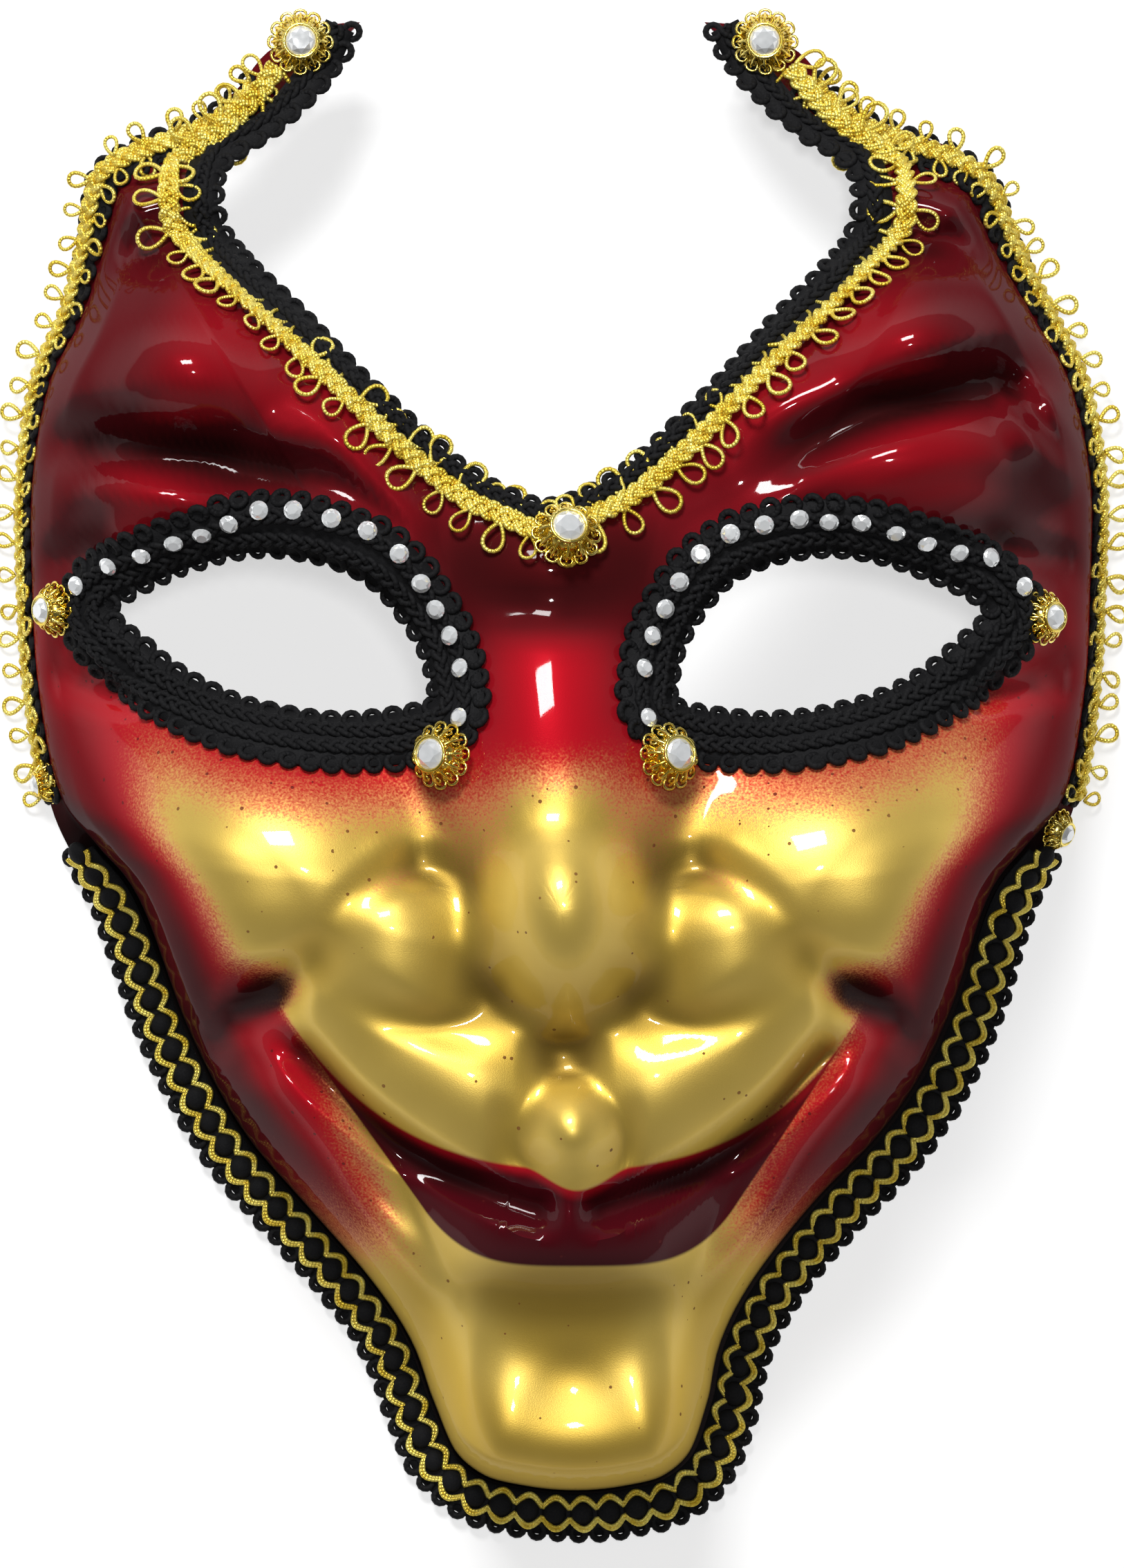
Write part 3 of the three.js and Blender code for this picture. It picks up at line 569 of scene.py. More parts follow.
lips = {
    "middle": 1.6,
    "upper": -60.8,
    "upperSquare": 0.0061,
    "upperFourth": 2.79e-6,
    "dip": 3.2,
    "dipHalf": 8.5,
    "lower": -76.1,
    "lowerRise": 8.2,
    "lowerHalf": 24,
    "lowerPower": 3.9,
    "cornerSlope": 1.455,
    "corner": (44.5, 46.0),  # the paint ends here
    "soft": 0.7,
    "edging": 2.2,
}


def lipMasks(board, place):  # lip paint, and the lighter line along the upper lip
    axes = board.axes(place)
    y = axes["Y"] * (1 / mm) - mould["shiftY"]
    x = axes["X"] * (1 / mm) - mould["shiftX"] - y * mould["lean"]
    u = board.math("ABSOLUTE", x - lips["middle"])
    square = u * u
    dip = board.most(1 - square / lips["dipHalf"] ** 2, 0)
    upper = square * lips["upperSquare"] + square * square * lips["upperFourth"] + lips["upper"]
    upper = upper - dip * dip * lips["dip"]
    bowl = (u / lips["lowerHalf"]) ** lips["lowerPower"] * lips["lowerRise"] + lips["lower"]
    straight = (u - lips["lowerHalf"]) * lips["cornerSlope"] + (lips["lower"] + lips["lowerRise"])
    beyond = board.math("GREATER_THAN", u, lips["lowerHalf"])
    lower = bowl * (1 - beyond) + straight * beyond
    soft = lips["soft"] / 2
    inside = board.ramp(upper - y, -soft, soft) * board.ramp(y - lower, -soft, soft)
    edging = 1 - board.ramp(upper - y, 0, lips["edging"])
    return inside * (1 - board.ramp(u, *lips["corner"])), edging


paintLayers = ("redMist", "deep", "hollow", "relief", "turned", "flange", "overspray")

lacquer = {
    "gold": (0.57, 0.375, 0.056),
    "paleGold": (0.78, 0.56, 0.13),
    "amber": (0.66, 0.25, 0.09),
    # painted shade colour for the gold
    "umber": (0.085, 0.045, 0.008),
    "crimson": (0.42, 0.006, 0.014),
    "maroon": (0.056, 0.004, 0.006),
    # painted shade colour for the red and the lips
    "soot": (0.016, 0.004, 0.004),
    # near black painted shade over the flange of the lower face
    "flange": (0.008, 0.006, 0.006),
    "lip": (0.060, 0.003, 0.006),
    "dot": (0.10, 0.010, 0.010),
    "grain": (2600, 0.7),  # scale, and its share where the mist thins out
    "cloud": (60, 0.4),  # scale, and its share of the pale gold
    # painted highlight: the gold turns pale on the raised forms
    "paleRelief": (0.1, -0.9),
    "amberMist": (0.0, 0.55),
    "wineMist": (0.3, 1.0),
    "lipEdging": 0.75,
    "dots": (900, 0.8),  # scale and cover
    "dotSize": (0.08, 0.22),  # least, and what chance adds
    "sunk": 0.6,  # cover of the shade in sunk places
    "crease": (0.5, 0.25),  # cover of the shade in creases, and what the red adds
    "flake": 5200,
    "metal": (0.10, 0.62),  # of the red, and what the gold adds
    "rough": (0.38, 0.07, 0.1),  # of the red, and what the gold and the flake add
    "steep": (0.8, 0.22, 0.9),  # on steep walls: metal lost, roughness added, coat lost
    "bump": (0.06, 0.0004),
    "creaseCoat": 0.5,  # coat lost in creases
    "coatRough": 0.05,
    "coatIndex": 1.34,
}


def maskLacquer():
    made, board, place = newFinish("maskLacquer")
    s = lacquer
    red, deep, hollow, relief, turned, flange, overspray = (board.attribute(name) for name in paintLayers)
    scale, share = s["grain"]
    edge = red * (1 - red) * 4  # most where the mist is half thick
    mist = board.ramp(red + (board.noise(place, scale, 1) - 0.5) * edge * share, 0.0, 1.0)
    # The pale gold comes partly from random clouds and partly from painted highlight on the raised forms.
    scale, share = s["cloud"]
    pale = board.noise(place, scale, 3) * share + board.ramp(relief, *s["paleRelief"]) * (1 - share)
    coat = board.blend(pale, s["gold"], s["paleGold"])
    coat = board.blend(board.ramp(mist, *s["amberMist"]), coat, s["amber"])
    wine = board.blend(deep, s["crimson"], s["maroon"])
    coat = board.blend(board.ramp(mist, *s["wineMist"]), coat, wine)
    lip, edging = lipMasks(board, place)
    lipColour = board.blend(edging * s["lipEdging"], s["lip"], s["crimson"])
    coat = board.blend(lip, coat, lipColour)
    scale, cover = s["dots"]
    cells = board.node("ShaderNodeTexVoronoi", None, {"Vector": place, "Scale": scale})
    draw = board.node("ShaderNodeSeparateColor", None, {"Color": cells["Color"]})
    dots = board.math("LESS_THAN", cells["Distance"], graded(draw["Green"], *s["dotSize"]))
    dots = dots * board.math("LESS_THAN", draw["Red"], overspray)
    coat = board.blend(dots * cover, coat, s["dot"])
    # Painted shade: sunk places and creases are darkened towards a shadow colour, brown on the gold and near
    # black on the red and the lips.
    shadow = board.blend(board.most(mist, lip), s["umber"], s["soot"])
    coat = board.blend(board.ramp(relief, 0.0, 1.0) * s["sunk"], coat, shadow)
    coat = board.blend(hollow * graded(mist, *s["crease"]), coat, shadow)
    # near black painted shade over the flange
    coat = board.blend(flange, coat, s["flange"])
    metal = (1 - mist) * (1 - lip) * (1 - dots)
    flake = board.noise(place, s["flake"], 1)
    redRough, goldRough, flakeRough = s["rough"]
    lessMetal, moreRough, lessCoat = s["steep"]
    shade(board, {
        "Base Color": coat,
        "Metallic": graded(metal, *s["metal"]) * (1 - turned * lessMetal),
        "Roughness": redRough + metal * goldRough + (flake - 0.5) * flakeRough + turned * moreRough,
        "Normal": bump(board, flake, *s["bump"]),
        "Coat Weight": (1 - hollow * s["creaseCoat"]) * (1 - flange) * (1 - turned * lessCoat),
        "Coat Roughness": s["coatRough"],
        "Coat IOR": s["coatIndex"],
        "Specular IOR Level": 0.0,
    })
    return made


plastic = {
    "tones": ((0.018, 0.016, 0.016), (0.045, 0.036, 0.034)),
    "cloud": 90,
    "pits": 1500,
    "rough": (0.45, 0.25),  # least, and what the pits add
    "bump": (0.25, 0.0003),
}


def barePlastic():
    made, board, place = newFinish("barePlastic")
    s = plastic
    pits = board.noise(place, s["pits"])
    shade(board, {
        "Base Color": board.blend(board.noise(place, s["cloud"], 4), *s["tones"]),
        "Roughness": graded(pits, *s["rough"]),
        "Normal": bump(board, pits, *s["bump"]),
    })
    return made


gimp = {
    "tones": ((0.0015, 0.0015, 0.002), (0.006, 0.006, 0.007)),
    "cloud": 420,
    "fibre": 3200,
    "twist": (0.7, 0.5),  # length of a turn, and its height beside the fibres
    "rough": (0.66, 0.25),
    "bump": (0.5, 0.00012),
    "specular": 0.22,
}


def blackGimp():
    made, board, place = newFinish("blackGimp")
    s = gimp
    fibre = board.noise(place, s["fibre"])
    pitch, height = s["twist"]
    shade(board, {
        "Base Color": board.blend(board.noise(place, s["cloud"]), *s["tones"]),
        "Roughness": graded(fibre, *s["rough"]),
        "Normal": bump(board, twisted(board, pitch) * height + fibre, *s["bump"]),
        "Specular IOR Level": s["specular"],
    })
    return made


thread = {
    "tones": ((0.74, 0.53, 0.045), (0.95, 0.80, 0.18)),
    "cloud": 300,
    "change": (0.3, 0.7),  # where the cloud turns from one tone to the other
    "fibre": 2600,
    "twist": (0.55, 0.6),  # length of a turn, and its share of the relief
    "metal": 0.7,
    "rough": (0.26, 0.18),
    "bump": (0.7, 0.00012),
}


def goldThread():
    made, board, place = newFinish("goldThread")
    s = thread
    fibre = board.noise(place, s["fibre"])
    pitch, share = s["twist"]
    tone = board.ramp(board.noise(place, s["cloud"]), *s["change"])
    shade(board, {
        "Base Color": board.blend(tone, *s["tones"]),
        "Metallic": s["metal"],
        "Roughness": graded(fibre, *s["rough"]),
        "Normal": bump(board, twisted(board, pitch) * share + fibre * (1 - share), *s["bump"]),
    })
    return made


gilding = {
    "tones": ((0.84, 0.58, 0.06), (0.98, 0.82, 0.24)),
    "cloud": 240,
    "change": (0.3, 0.7),
    "pits": 2400,
    "rough": (0.14, 0.2),
    "bump": (0.15, 0.0001),
}


def filigreeGold():
    made, board, place = newFinish("filigreeGold")
    s = gilding
    pits = board.noise(place, s["pits"])
    tone = board.ramp(board.noise(place, s["cloud"], 3), *s["change"])
    shade(board, {
        "Base Color": board.blend(tone, *s["tones"]),
        "Metallic": 1.0,
        "Roughness": graded(pits, *s["rough"]),
        "Normal": bump(board, pits, *s["bump"]),
    })
    return made


crystal = {
    "tones": ((0.72, 0.75, 0.76), (0.98, 0.99, 1.0)),
    "spark": 700,
    "metal": 0.45,
    "rough": (0.03, 0.08),
    "coatRough": 0.01,
}


def foiledCrystal():
    made, board, place = newFinish("foiledCrystal")
    s = crystal
    spark = board.noise(place, s["spark"], 1)
    shade(board, {
        "Base Color": board.blend(spark, *s["tones"]),
        "Metallic": s["metal"],
        "Roughness": graded(spark, *s["rough"]),
        "Coat Weight": 1.0,
        "Coat Roughness": s["coatRough"],
    })
    return made


paper = {
    "tones": ((0.40, 0.40, 0.40), (0.42, 0.42, 0.42)),
    "glow": ((0.97, 0.97, 0.97), (1.0, 1.0, 1.0)),
    "glowStrength": 0.62,
    "cloud": 6,
    "rough": (0.6, 0.1),
}


def paleFloor():
    made, board, place = newFinish("paleFloor")
    s = paper
    cloud = board.noise(place, s["cloud"], 3)
    shade(board, {
        "Base Color": board.blend(cloud, *s["tones"]),
        "Roughness": graded(cloud, *s["rough"]),
        "Emission Color": board.blend(cloud, *s["glow"]),
        "Emission Strength": s["glowStrength"],
    })
    return made


finishes = {
    "lacquer": maskLacquer(),
    "plastic": barePlastic(),
    "gimp": blackGimp(),
    "thread": goldThread(),
    "filigree": filigreeGold(),
    "crystal": foiledCrystal(),
    "floor": paleFloor(),
}
print("finishes made:", len(finishes))


# Shell: a fine polar grid over the face, an inner sheet one wall below, and straight cuts

def shellSheets():
    ring = rimStations(mould["sectors"])
    share = 1 - (1 - np.arange(1, mould["rings"] + 1) / mould["rings"]) ** mould["crowding"]
    centre = np.array([0, mould["centreY"], 0.0])
    plan = centre + (ring["foot"] - centre)[:, None, :] * share[None, :, None]
    plan[..., 2] = faceHeight(plan[..., 0], plan[..., 1])
    plan[:, -1] = ring["foot"]
    down = np.arange(1, mould["skirtRows"] + 1)[None, :, None] / mould["skirtRows"]
    strip = ring["foot"][:, None] + (ring["edge"] - ring["foot"])[:, None] * down
    outer = np.concatenate([plan, strip], axis=1)
    circling = np.roll(plan, -1, axis=0) - np.roll(plan, 1, axis=0)
    normal = unit(np.cross(circling, np.gradient(plan, axis=1)))
    wall = mould["wall"]
    inner = plan - normal * wall
    innerFoot = ring["foot"] - ring["normal"] * wall - ring["out"] * wall * ring["flat"]
    innerEdge = ring["edge"] - ring["normal"] * wall
    inner[:, -1] = innerFoot
    innerStrip = innerFoot[:, None] + (innerEdge - innerFoot)[:, None] * down
    return outer, np.concatenate([inner, innerStrip], axis=1)


def shellMesh():
    outer, inner = shellSheets()
    sectors, rows = outer.shape[:2]
    middle = np.array([0.0, mould["centreY"]])
    top = np.append(middle, faceHeight(*middle[:, None]))
    points = np.vstack([[top], outer.reshape(-1, 3), [top - [0, 0, mould["wall"]]], inner.reshape(-1, 3)])
    below = 1 + sectors * rows
    faces = []
    inside = []
    for k in range(sectors):
        here, after = 1 + k * rows, 1 + (k + 1) % sectors * rows
        faces += [(0, after, here), (below, below + here, below + after)]
        inside += [0, 1]
        for i in range(rows - 1):
            quad = (here + i, after + i, after + i + 1, here + i + 1)
            faces += [quad, tuple(below + j for j in reversed(quad))]
            inside += [0, 1]
        last = rows - 1
        faces.append((here + last, after + last, below + after + last, below + here + last))
        inside.append(1)
    return toFrame(points), faces, inside


openings = {"overhang": 1.2, "exit": 12, "spacing": 1.0, "low": -20, "high": 120}


def prism(outline):
    count = len(outline)
    low = np.column_stack([outline, np.full(count, openings["low"])])
    high = np.column_stack([outline, np.full(count, openings["high"])])
    sides = [(i, (i + 1) % count, count + (i + 1) % count, count + i) for i in range(count)]
    caps = [tuple(reversed(range(count))), tuple(range(count, 2 * count))]
    return toFrame(np.vstack([low, high])), sides + caps


def openingsCutter():
    eye = evenRows(eyeRows, True, openings["spacing"])[0]
    notch, normal = evenRows(bothHalves(notchRows), False, openings["spacing"])
    edge = notch[:, :2] - normal * openings["overhang"]
    clear = edge[-1] + np.array([-openings["exit"], openings["exit"]])
    outlines = [eye, (eye * [-1, 1])[::-1], np.vstack([edge, clear, clear * [-1, 1]])]
    points, faces, first = [], [], 0
    for outline in outlines:
        more, sides = prism(outline)
        points.append(more)
        faces += [tuple(first + i for i in side) for side in sides]
        first += len(more)
    return meshObject("openings", np.vstack(points), faces)


def eyeDistance(x, y):  # distance in plan from the edge of the nearer eye hole
    nearest = np.full(len(x), np.inf)
    for px, py in evenRows(eyeRows, True, openings["spacing"])[0]:
        nearest = np.minimum(nearest, np.hypot(np.abs(x) - px, y - py))
    return nearest


airbrush = {
    "core": 0.35,  # solid middle of a round patch
    "browLine": (1.5, 0.30),  # where the red of the brow ends: height at the middle, and slope outwards
    "browSoft": (-10, 8),
    "browDeep": (0.94, 0.06),  # how deep its red is, and what the horns add
    "hornStart": (60, 85),
    "eyeMist": (5.0, 24.0),  # mist round the eye bands: solid up to, gone at
    "rightMist": 0.8,  # thinner under the right eye
    "side": (0.71, 0.90),  # share of the way to the foot
    "sideEnd": (-88, -52),
    "sideDeep": (0.79, 0.93),
    "jowl": ((49, -46), (20, 22)),
    "rightJowl": 0.7,
    "seamSoft": (-1.5, 1.5),
    "ridge": ((37, -62), (13, 20)),
    "noseSide": ((13, -6), (9, 16)),
    "underLip": ((0, -80), (30, 8)),
    "root": ((0, 33), (30, 13)),
    "smile": ("smile paint", "lr", (41, -37), (50, -34), (61, -50), 7, 1, 0.25),
    "nostril": ("nostril paint", "lr", (19, -16), (26, -15.5), (34, -21), 3.5, 1, 0.35),
    "bridge": (10, 17, 26),  # half width, and the heights where the crimson fades
    "red": {"mist": 0.85, "jowl": 0.9, "ridge": 0.35, "smile": 0.9, "nostril": 0.3, "noseSide": 0.3},
    "deep": {"side": 0.8, "jowl": 0.45, "smile": 0.9},
    "shade": {"underLip": 0.95, "root": 0.95},
    "mistClear": 0.8,  # the mist round the eyes stays bright
    "downward": (0.05, 0.55),  # painted shade: the red darkens where the face turns down, away from the light above
    "downDeep": (0.92, 0.3),
    "lit": 0.42,  # painted highlight: the red is lighter on the raised forms
    "lowFace": (-5, 15),  # below the eyes, where the foot and the flange get painted shade
    # painted shade along the foot of the wall, and near black painted shade over the flange
    "foot": (0.955, 1.0),
    "flange": (0.985, 1.0),
    "gloss": (0.50, 0.80),  # upward share of the normal: dull on steep walls, glossy above
    "grid": (92, 126),  # half width and half height of the field that is searched for sunk places
    "hollowBlur": 3.2,  # how far round a place its neighbours are compared
    "hollowDepth": (0.1, 2.2),
    "hollowEnd": (0.9, 0.95),
    "reliefBlur": 8.0,  # the same for the broad forms
    "reliefDepth": 3.5,
    "reliefEnd": (0.78, 0.90),
    "mistDots": 0.24,
    "ridgeDots": 0.16,
    "strayDots": 0.03,
}


def patch(x, y, place, size):  # soft round patch of paint on both sides of the face
    d = np.hypot((np.abs(x) - place[0]) / size[0], (y - place[1]) / size[1])
    return 1 - smoothRamp(d, airbrush["core"], 1.0)


def sunkDepth(x, y, blur):  # how far a place lies below its surroundings
    across, along = (np.arange(-half, half + 1.0) for half in airbrush["grid"])
    heights = faceHeight(*np.meshgrid(across, along))
    span = round(3 * blur)
    bell = np.exp(-0.5 * (np.arange(-span, span + 1) / blur) ** 2)
    blurred = heights
    for axis in (0, 1):
        blurred = np.apply_along_axis(np.convolve, axis, blurred, bell / bell.sum(), mode="same")
    column, row = np.clip(x - across[0], 0, len(across) - 2), np.clip(y - along[0], 0, len(along) - 2)
    i, j = column.astype(int), row.astype(int)
    u, v = column - i, row - j
    depth = blurred - heights
    lower = depth[j, i] * (1 - u) + depth[j, i + 1] * u
    upper = depth[j + 1, i] * (1 - u) + depth[j + 1, i + 1] * u
    return lower * (1 - v) + upper * v


def paintForms(x, y, reach):  # how much of each painted form covers a place
    a = airbrush
    forms = {key: patch(x, y, *a[key]) for key in ("jowl", "ridge", "noseSide", "underLip", "root")}
    for key in ("smile", "nostril"):
        forms[key] = foldShare(a[key], 1, x, y) + foldShare(a[key], -1, x, y)
    u = np.minimum(np.abs(x - lips["middle"]), lips["corner"][1])
    seam = lips["upper"] + lips["upperSquare"] * u**2 + lips["upperFourth"] * u**4
    forms["jowl"] *= smoothRamp(seam - y, *a["seamSoft"]) * np.where(x > 0, a["rightJowl"], 1.0)
    height, slope = a["browLine"]
    forms["brow"] = smoothRamp(y - height - slope * np.abs(x), *a["browSoft"])
    mist = 1 - smoothRamp(eyeDistance(x, y), *a["eyeMist"])
    forms["mist"] = mist * np.where(x > 0, a["rightMist"], 1.0)
    forms["side"] = smoothRamp(reach, *a["side"]) * smoothRamp(y, *a["sideEnd"])
    return forms


def deepRed(forms, x, y, reach, downward):
    a = airbrush
    deepForms = forms | {"side": forms["side"] * smoothRamp(reach, *a["sideDeep"])}
    least, added = a["browDeep"]
    deep = forms["brow"] * (least + added * smoothRamp(y, *a["hornStart"]))
    for key, share in a["deep"].items():
        deep = np.maximum(deep, share * deepForms[key])
    width, low, high = a["bridge"]
    bridge = np.exp(-((x / width) ** 2)) * (1 - smoothRamp(y, low, high))
    deep = deep * (1 - bridge) * (1 - a["mistClear"] * forms["mist"] * (1 - forms["brow"]))
    # Painted shade: the red is deeper where the face turns down.
    least, added = a["downDeep"]
    return deep * (least + added * smoothRamp(downward, *a["downward"]))


def paintShell(mesh):
    a = airbrush
    x, y = toPlan(vertexVectors(mesh.vertices, "co").astype(float))
    normals = vertexVectors(mesh.vertex_normals, "vector")
    reach = reachAt(x, y)[0]
    forms = paintForms(x, y, reach)
    bare = (1 - forms["brow"]) * (1 - forms["side"])
    for key, share in a["red"].items():
        bare = bare * (1 - share * forms[key])
    # Broad relief: raised places get painted highlight, sunk places get painted shade.
    relief = np.clip(sunkDepth(x, y, a["reliefBlur"]) / a["reliefDepth"], -1, 1)
    relief = relief * (1 - smoothRamp(reach, *a["reliefEnd"]))
    lowFace = smoothRamp(-y, *a["lowFace"])
    # Painted shade in creases: places that lie below their near neighbours are darkened.
    hollow = smoothRamp(sunkDepth(x, y, a["hollowBlur"]), *a["hollowDepth"])
    hollow = hollow * (1 - smoothRamp(reach, *a["hollowEnd"]))
    # painted shade under the lower lip and at the root of the brow
    for key, share in a["shade"].items():
        hollow = np.maximum(hollow, share * forms[key])
    deep = deepRed(forms, x, y, reach, -normals[:, 1])
    dots = (a["mistDots"] * forms["mist"] + a["strayDots"]) * (1 - forms["brow"])
    layers = {
        "redMist": 1 - bare,
        # painted highlight: the red is lighter on the raised forms
        "deep": deep * (1 - a["lit"] * np.clip(-relief, 0, 1)),
        # painted shade along the foot of the wall on the lower face
        "hollow": np.maximum(hollow, smoothRamp(reach, *a["foot"]) * lowFace),
        "relief": relief,
        "turned": 1 - smoothRamp(normals[:, 2], *a["gloss"]),
        "flange": smoothRamp(reach, *a["flange"]) * lowFace,
        "overspray": dots + a["ridgeDots"] * forms["ridge"],
    }
    for name in paintLayers:
        setValues(mesh, name, layers[name])


def makeShell():
    points, faces, inside = shellMesh()
    shell = meshObject("faceShell", points, faces)
    shell.data.materials.append(finishes["lacquer"])
    shell.data.materials.append(finishes["plastic"])
    shell.data.polygons.foreach_set("material_index", inside)
    cutter = openingsCutter()
    cutter.data.materials.append(finishes["plastic"])
    cut = shell.modifiers.new("openings", "BOOLEAN")
    cut.operation = "DIFFERENCE"
    cut.solver = "MANIFOLD"
    cut.material_mode = "TRANSFER"
    cut.object = cutter
    plainMesh(shell)
    bpy.data.objects.remove(cutter)
    shell.data.shade_smooth()
    shell.data.set_sharp_from_angle(angle=math.radians(mould["sharpAngle"]))
    paintShell(shell.data)
    return finishPiece(shell, "lacquer", "shell")


makeShell()


# Geometry trees of the trims

socketKinds = {"sizes": "NodeSocketFloat", "counts": "NodeSocketInt", "patterns": "NodeSocketObject"}


def geometryBoard(name, **given):
    tree = bpy.data.node_groups.new(name, "GeometryNodeTree")
    sockets = [("Path", "NodeSocketGeometry")]
    sockets += [(socket, socketKinds[kind]) for kind, names in given.items() for socket in names]
    for socket, kind in sockets + [("Finish", "NodeSocketMaterial")]:
        tree.interface.new_socket(socket, in_out="INPUT", socket_type=kind)
    tree.interface.new_socket("Geometry", in_out="OUTPUT", socket_type="NodeSocketGeometry")
    board = Board(tree)
    return tree, board, board.node("NodeGroupInput")


def closeTree(board, geometry, finish, smooth=True):
    real = board.node("GeometryNodeRealizeInstances", None, {"Geometry": geometry})
    soft = board.node("GeometryNodeSetShadeSmooth", None, {"Geometry": real, "Shade Smooth": smooth})
    dressed = board.node("GeometryNodeSetMaterial", None, {"Geometry": soft, "Material": finish})
    board.node("NodeGroupOutput", None, {"Geometry": dressed})


def namedVector(board, name):
    kind = {"data_type": "FLOAT_VECTOR"}
    return board.node("GeometryNodeInputNamedAttribute", kind, {"Name": name})["Attribute"]


def spaced(board, path, length):  # the path as a curve, with points a set length apart
    curve = board.node("GeometryNodeMeshToCurve", None, {"Mesh": path})
    return board.node("GeometryNodeResampleCurve", {"mode": "LENGTH"}, {"Curve": curve, "Length": length})


def ringCurve(board, radius, steps):
    return board.node("GeometryNodeCurvePrimitiveCircle", None, {"Resolution": steps, "Radius": radius})


def wire(board, curve, radius, sides):  # round cord along a curve, which remembers its length
    length = board.node("GeometryNodeSplineParameter")["Length"]
    store = {"data_type": "FLOAT", "domain": "POINT"}
    mark = {"Geometry": curve, "Name": "along", "Value": length}
    marked = board.node("GeometryNodeStoreNamedAttribute", store, mark)
    cord = {"Curve": marked, "Profile Curve": ringCurve(board, radius, sides), "Fill Caps": True}
    return board.node("GeometryNodeCurveToMesh", None, cord)


def moved(board, geometry, offset):
    return board.node("GeometryNodeSetPosition", None, {"Geometry": geometry, "Offset": offset})


def facing(board, up, across):  # rotation that stands Z on the surface and X across the path
    axes = {"primary_axis": "Z", "secondary_axis": "X"}
    return board.node("FunctionNodeAxesToRotation", axes, {"Primary Axis": up, "Secondary Axis": across})


def pathStand(board):
    return facing(board, namedVector(board, "up"), namedVector(board, "across"))


def turned(board, rotation, roll=0.0, pitch=0.0, yaw=0.0):  # adds a small turn of its own
    turn = board.node("FunctionNodeEulerToRotation", None, {"Euler": board.vector(roll, pitch, yaw)})
    both = {"Rotation": rotation, "Rotate By": turn}
    return board.node("FunctionNodeRotateRotation", {"rotation_space": "LOCAL"}, both)


def placed(board, points, piece, rotation, size=(1.0, 1.0, 1.0)):
    inputs = {"Points": points, "Instance": piece, "Rotation": rotation, "Scale": size}
    return board.node("GeometryNodeInstanceOnPoints", None, inputs)


def chance(board, low, high, seed):
    limits = {"Min": low, "Max": high, "Seed": seed}
    return board.node("FunctionNodeRandomValue", {"data_type": "FLOAT"}, limits)


def eitherWay(board, most, seed):
    return chance(board, -most, most, seed)


tearShare = 0.65  # brings a loop's widest place to its width


def teardrop(board, length, width, steps):  # closed loop from a pointed start at the origin, along X
    angle = board.node("GeometryNodeSplineParameter")["Factor"] * (2 * math.pi)
    far = (1 - board.math("COSINE", angle)) * length * 0.5
    wide = board.math("SINE", angle) * board.math("SINE", angle * 0.5) * width * tearShare
    inputs = {"Geometry": ringCurve(board, 1.0, steps), "Position": board.vector(far, wide)}
    return board.node("GeometryNodeSetPosition", None, inputs)


handwork = {
    "scallopTip": 0.15,  # turns in radians, and ranges of size
    "scallopSize": (0.92, 1.08),
    "loopTurn": (0.3, 0.15, 0.5),
    "loopSize": (0.82, 1.15),
    "padTurn": 0.2,
    "padSize": (0.93, 1.07),
    "stoneTurn": 6.28,
}
cordSides, wireSides = 6, 5
scallopSteps, loopSteps, padSteps = 12, 16, (14, 9)


def scallopTree():  # row of small cord rings along a path
    tree, board, given = geometryBoard("scallops", sizes=["Pitch", "Ring", "Cord", "Tilt"], counts=["Seed"])
    ring = wire(board, ringCurve(board, given["Ring"], scallopSteps), given["Cord"], cordSides)
    stand = pathStand(board)
    stand = turned(board, stand, given["Tilt"], eitherWay(board, handwork["scallopTip"], given["Seed"]))
    size = chance(board, *handwork["scallopSize"], given["Seed"])
    rings = placed(board, spaced(board, given["Path"], given["Pitch"]), ring, stand, size)
    closeTree(board, rings, given["Finish"])
    return tree


def plaitTree():  # flat plait of strands, each of a few wires side by side
    sizes = ["Step", "Sway", "Arch", "Over", "Lift", "Waves", "Wire", "Gap"]
    tree, board, given = geometryBoard("plait", sizes=sizes, counts=["Strands", "Wires"])
    line = spaced(board, given["Path"], given["Step"])
    copies = {"Geometry": line, "Amount": given["Strands"] * given["Wires"]}
    many = board.node("GeometryNodeDuplicateElements", {"domain": "SPLINE"}, copies)
    index = many["Duplicate Index"]
    strand = board.math("FLOOR", index / given["Wires"])
    beside = index - strand * given["Wires"] - (given["Wires"] - 1) * 0.5
    factor = board.node("GeometryNodeSplineParameter")["Factor"]
    phase = (factor * given["Waves"] + strand / given["Strands"]) * (2 * math.pi)
    sway = board.math("SINE", phase) * given["Sway"] + beside * given["Gap"]
    sway = sway + board.math("ABSOLUTE", board.math("COSINE", phase * 0.5)) * given["Arch"]
    over = board.math("SINE", phase * 2) * given["Over"] + given["Lift"]
    sideways = board.stretched(namedVector(board, "across"), sway)
    offset = board.plus(sideways, board.stretched(namedVector(board, "up"), over))
    closeTree(board, wire(board, moved(board, many, offset), given["Wire"], cordSides), given["Finish"])
    return tree


def picotTree():  # wire loops that stand out from one side of a path
    sizes = ["Pitch", "Half", "Length", "Width", "Wire"]
    tree, board, given = geometryBoard("picots", sizes=sizes, counts=["Seed"])
    loop = wire(board, teardrop(board, given["Length"], given["Width"], loopSteps), given["Wire"], cordSides)
    up, across = namedVector(board, "up"), namedVector(board, "across")
    rows = moved(board, spaced(board, given["Path"], given["Pitch"]), board.stretched(across, given["Half"]))
    seed = given["Seed"]
    turns = [eitherWay(board, most, seed + float(i)) for i, most in enumerate(handwork["loopTurn"])]
    stand = turned(board, facing(board, up, across), *turns)
    size = chance(board, *handwork["loopSize"], seed + 3.0)
    closeTree(board, placed(board, rows, loop, stand, size), given["Finish"])
    return tree


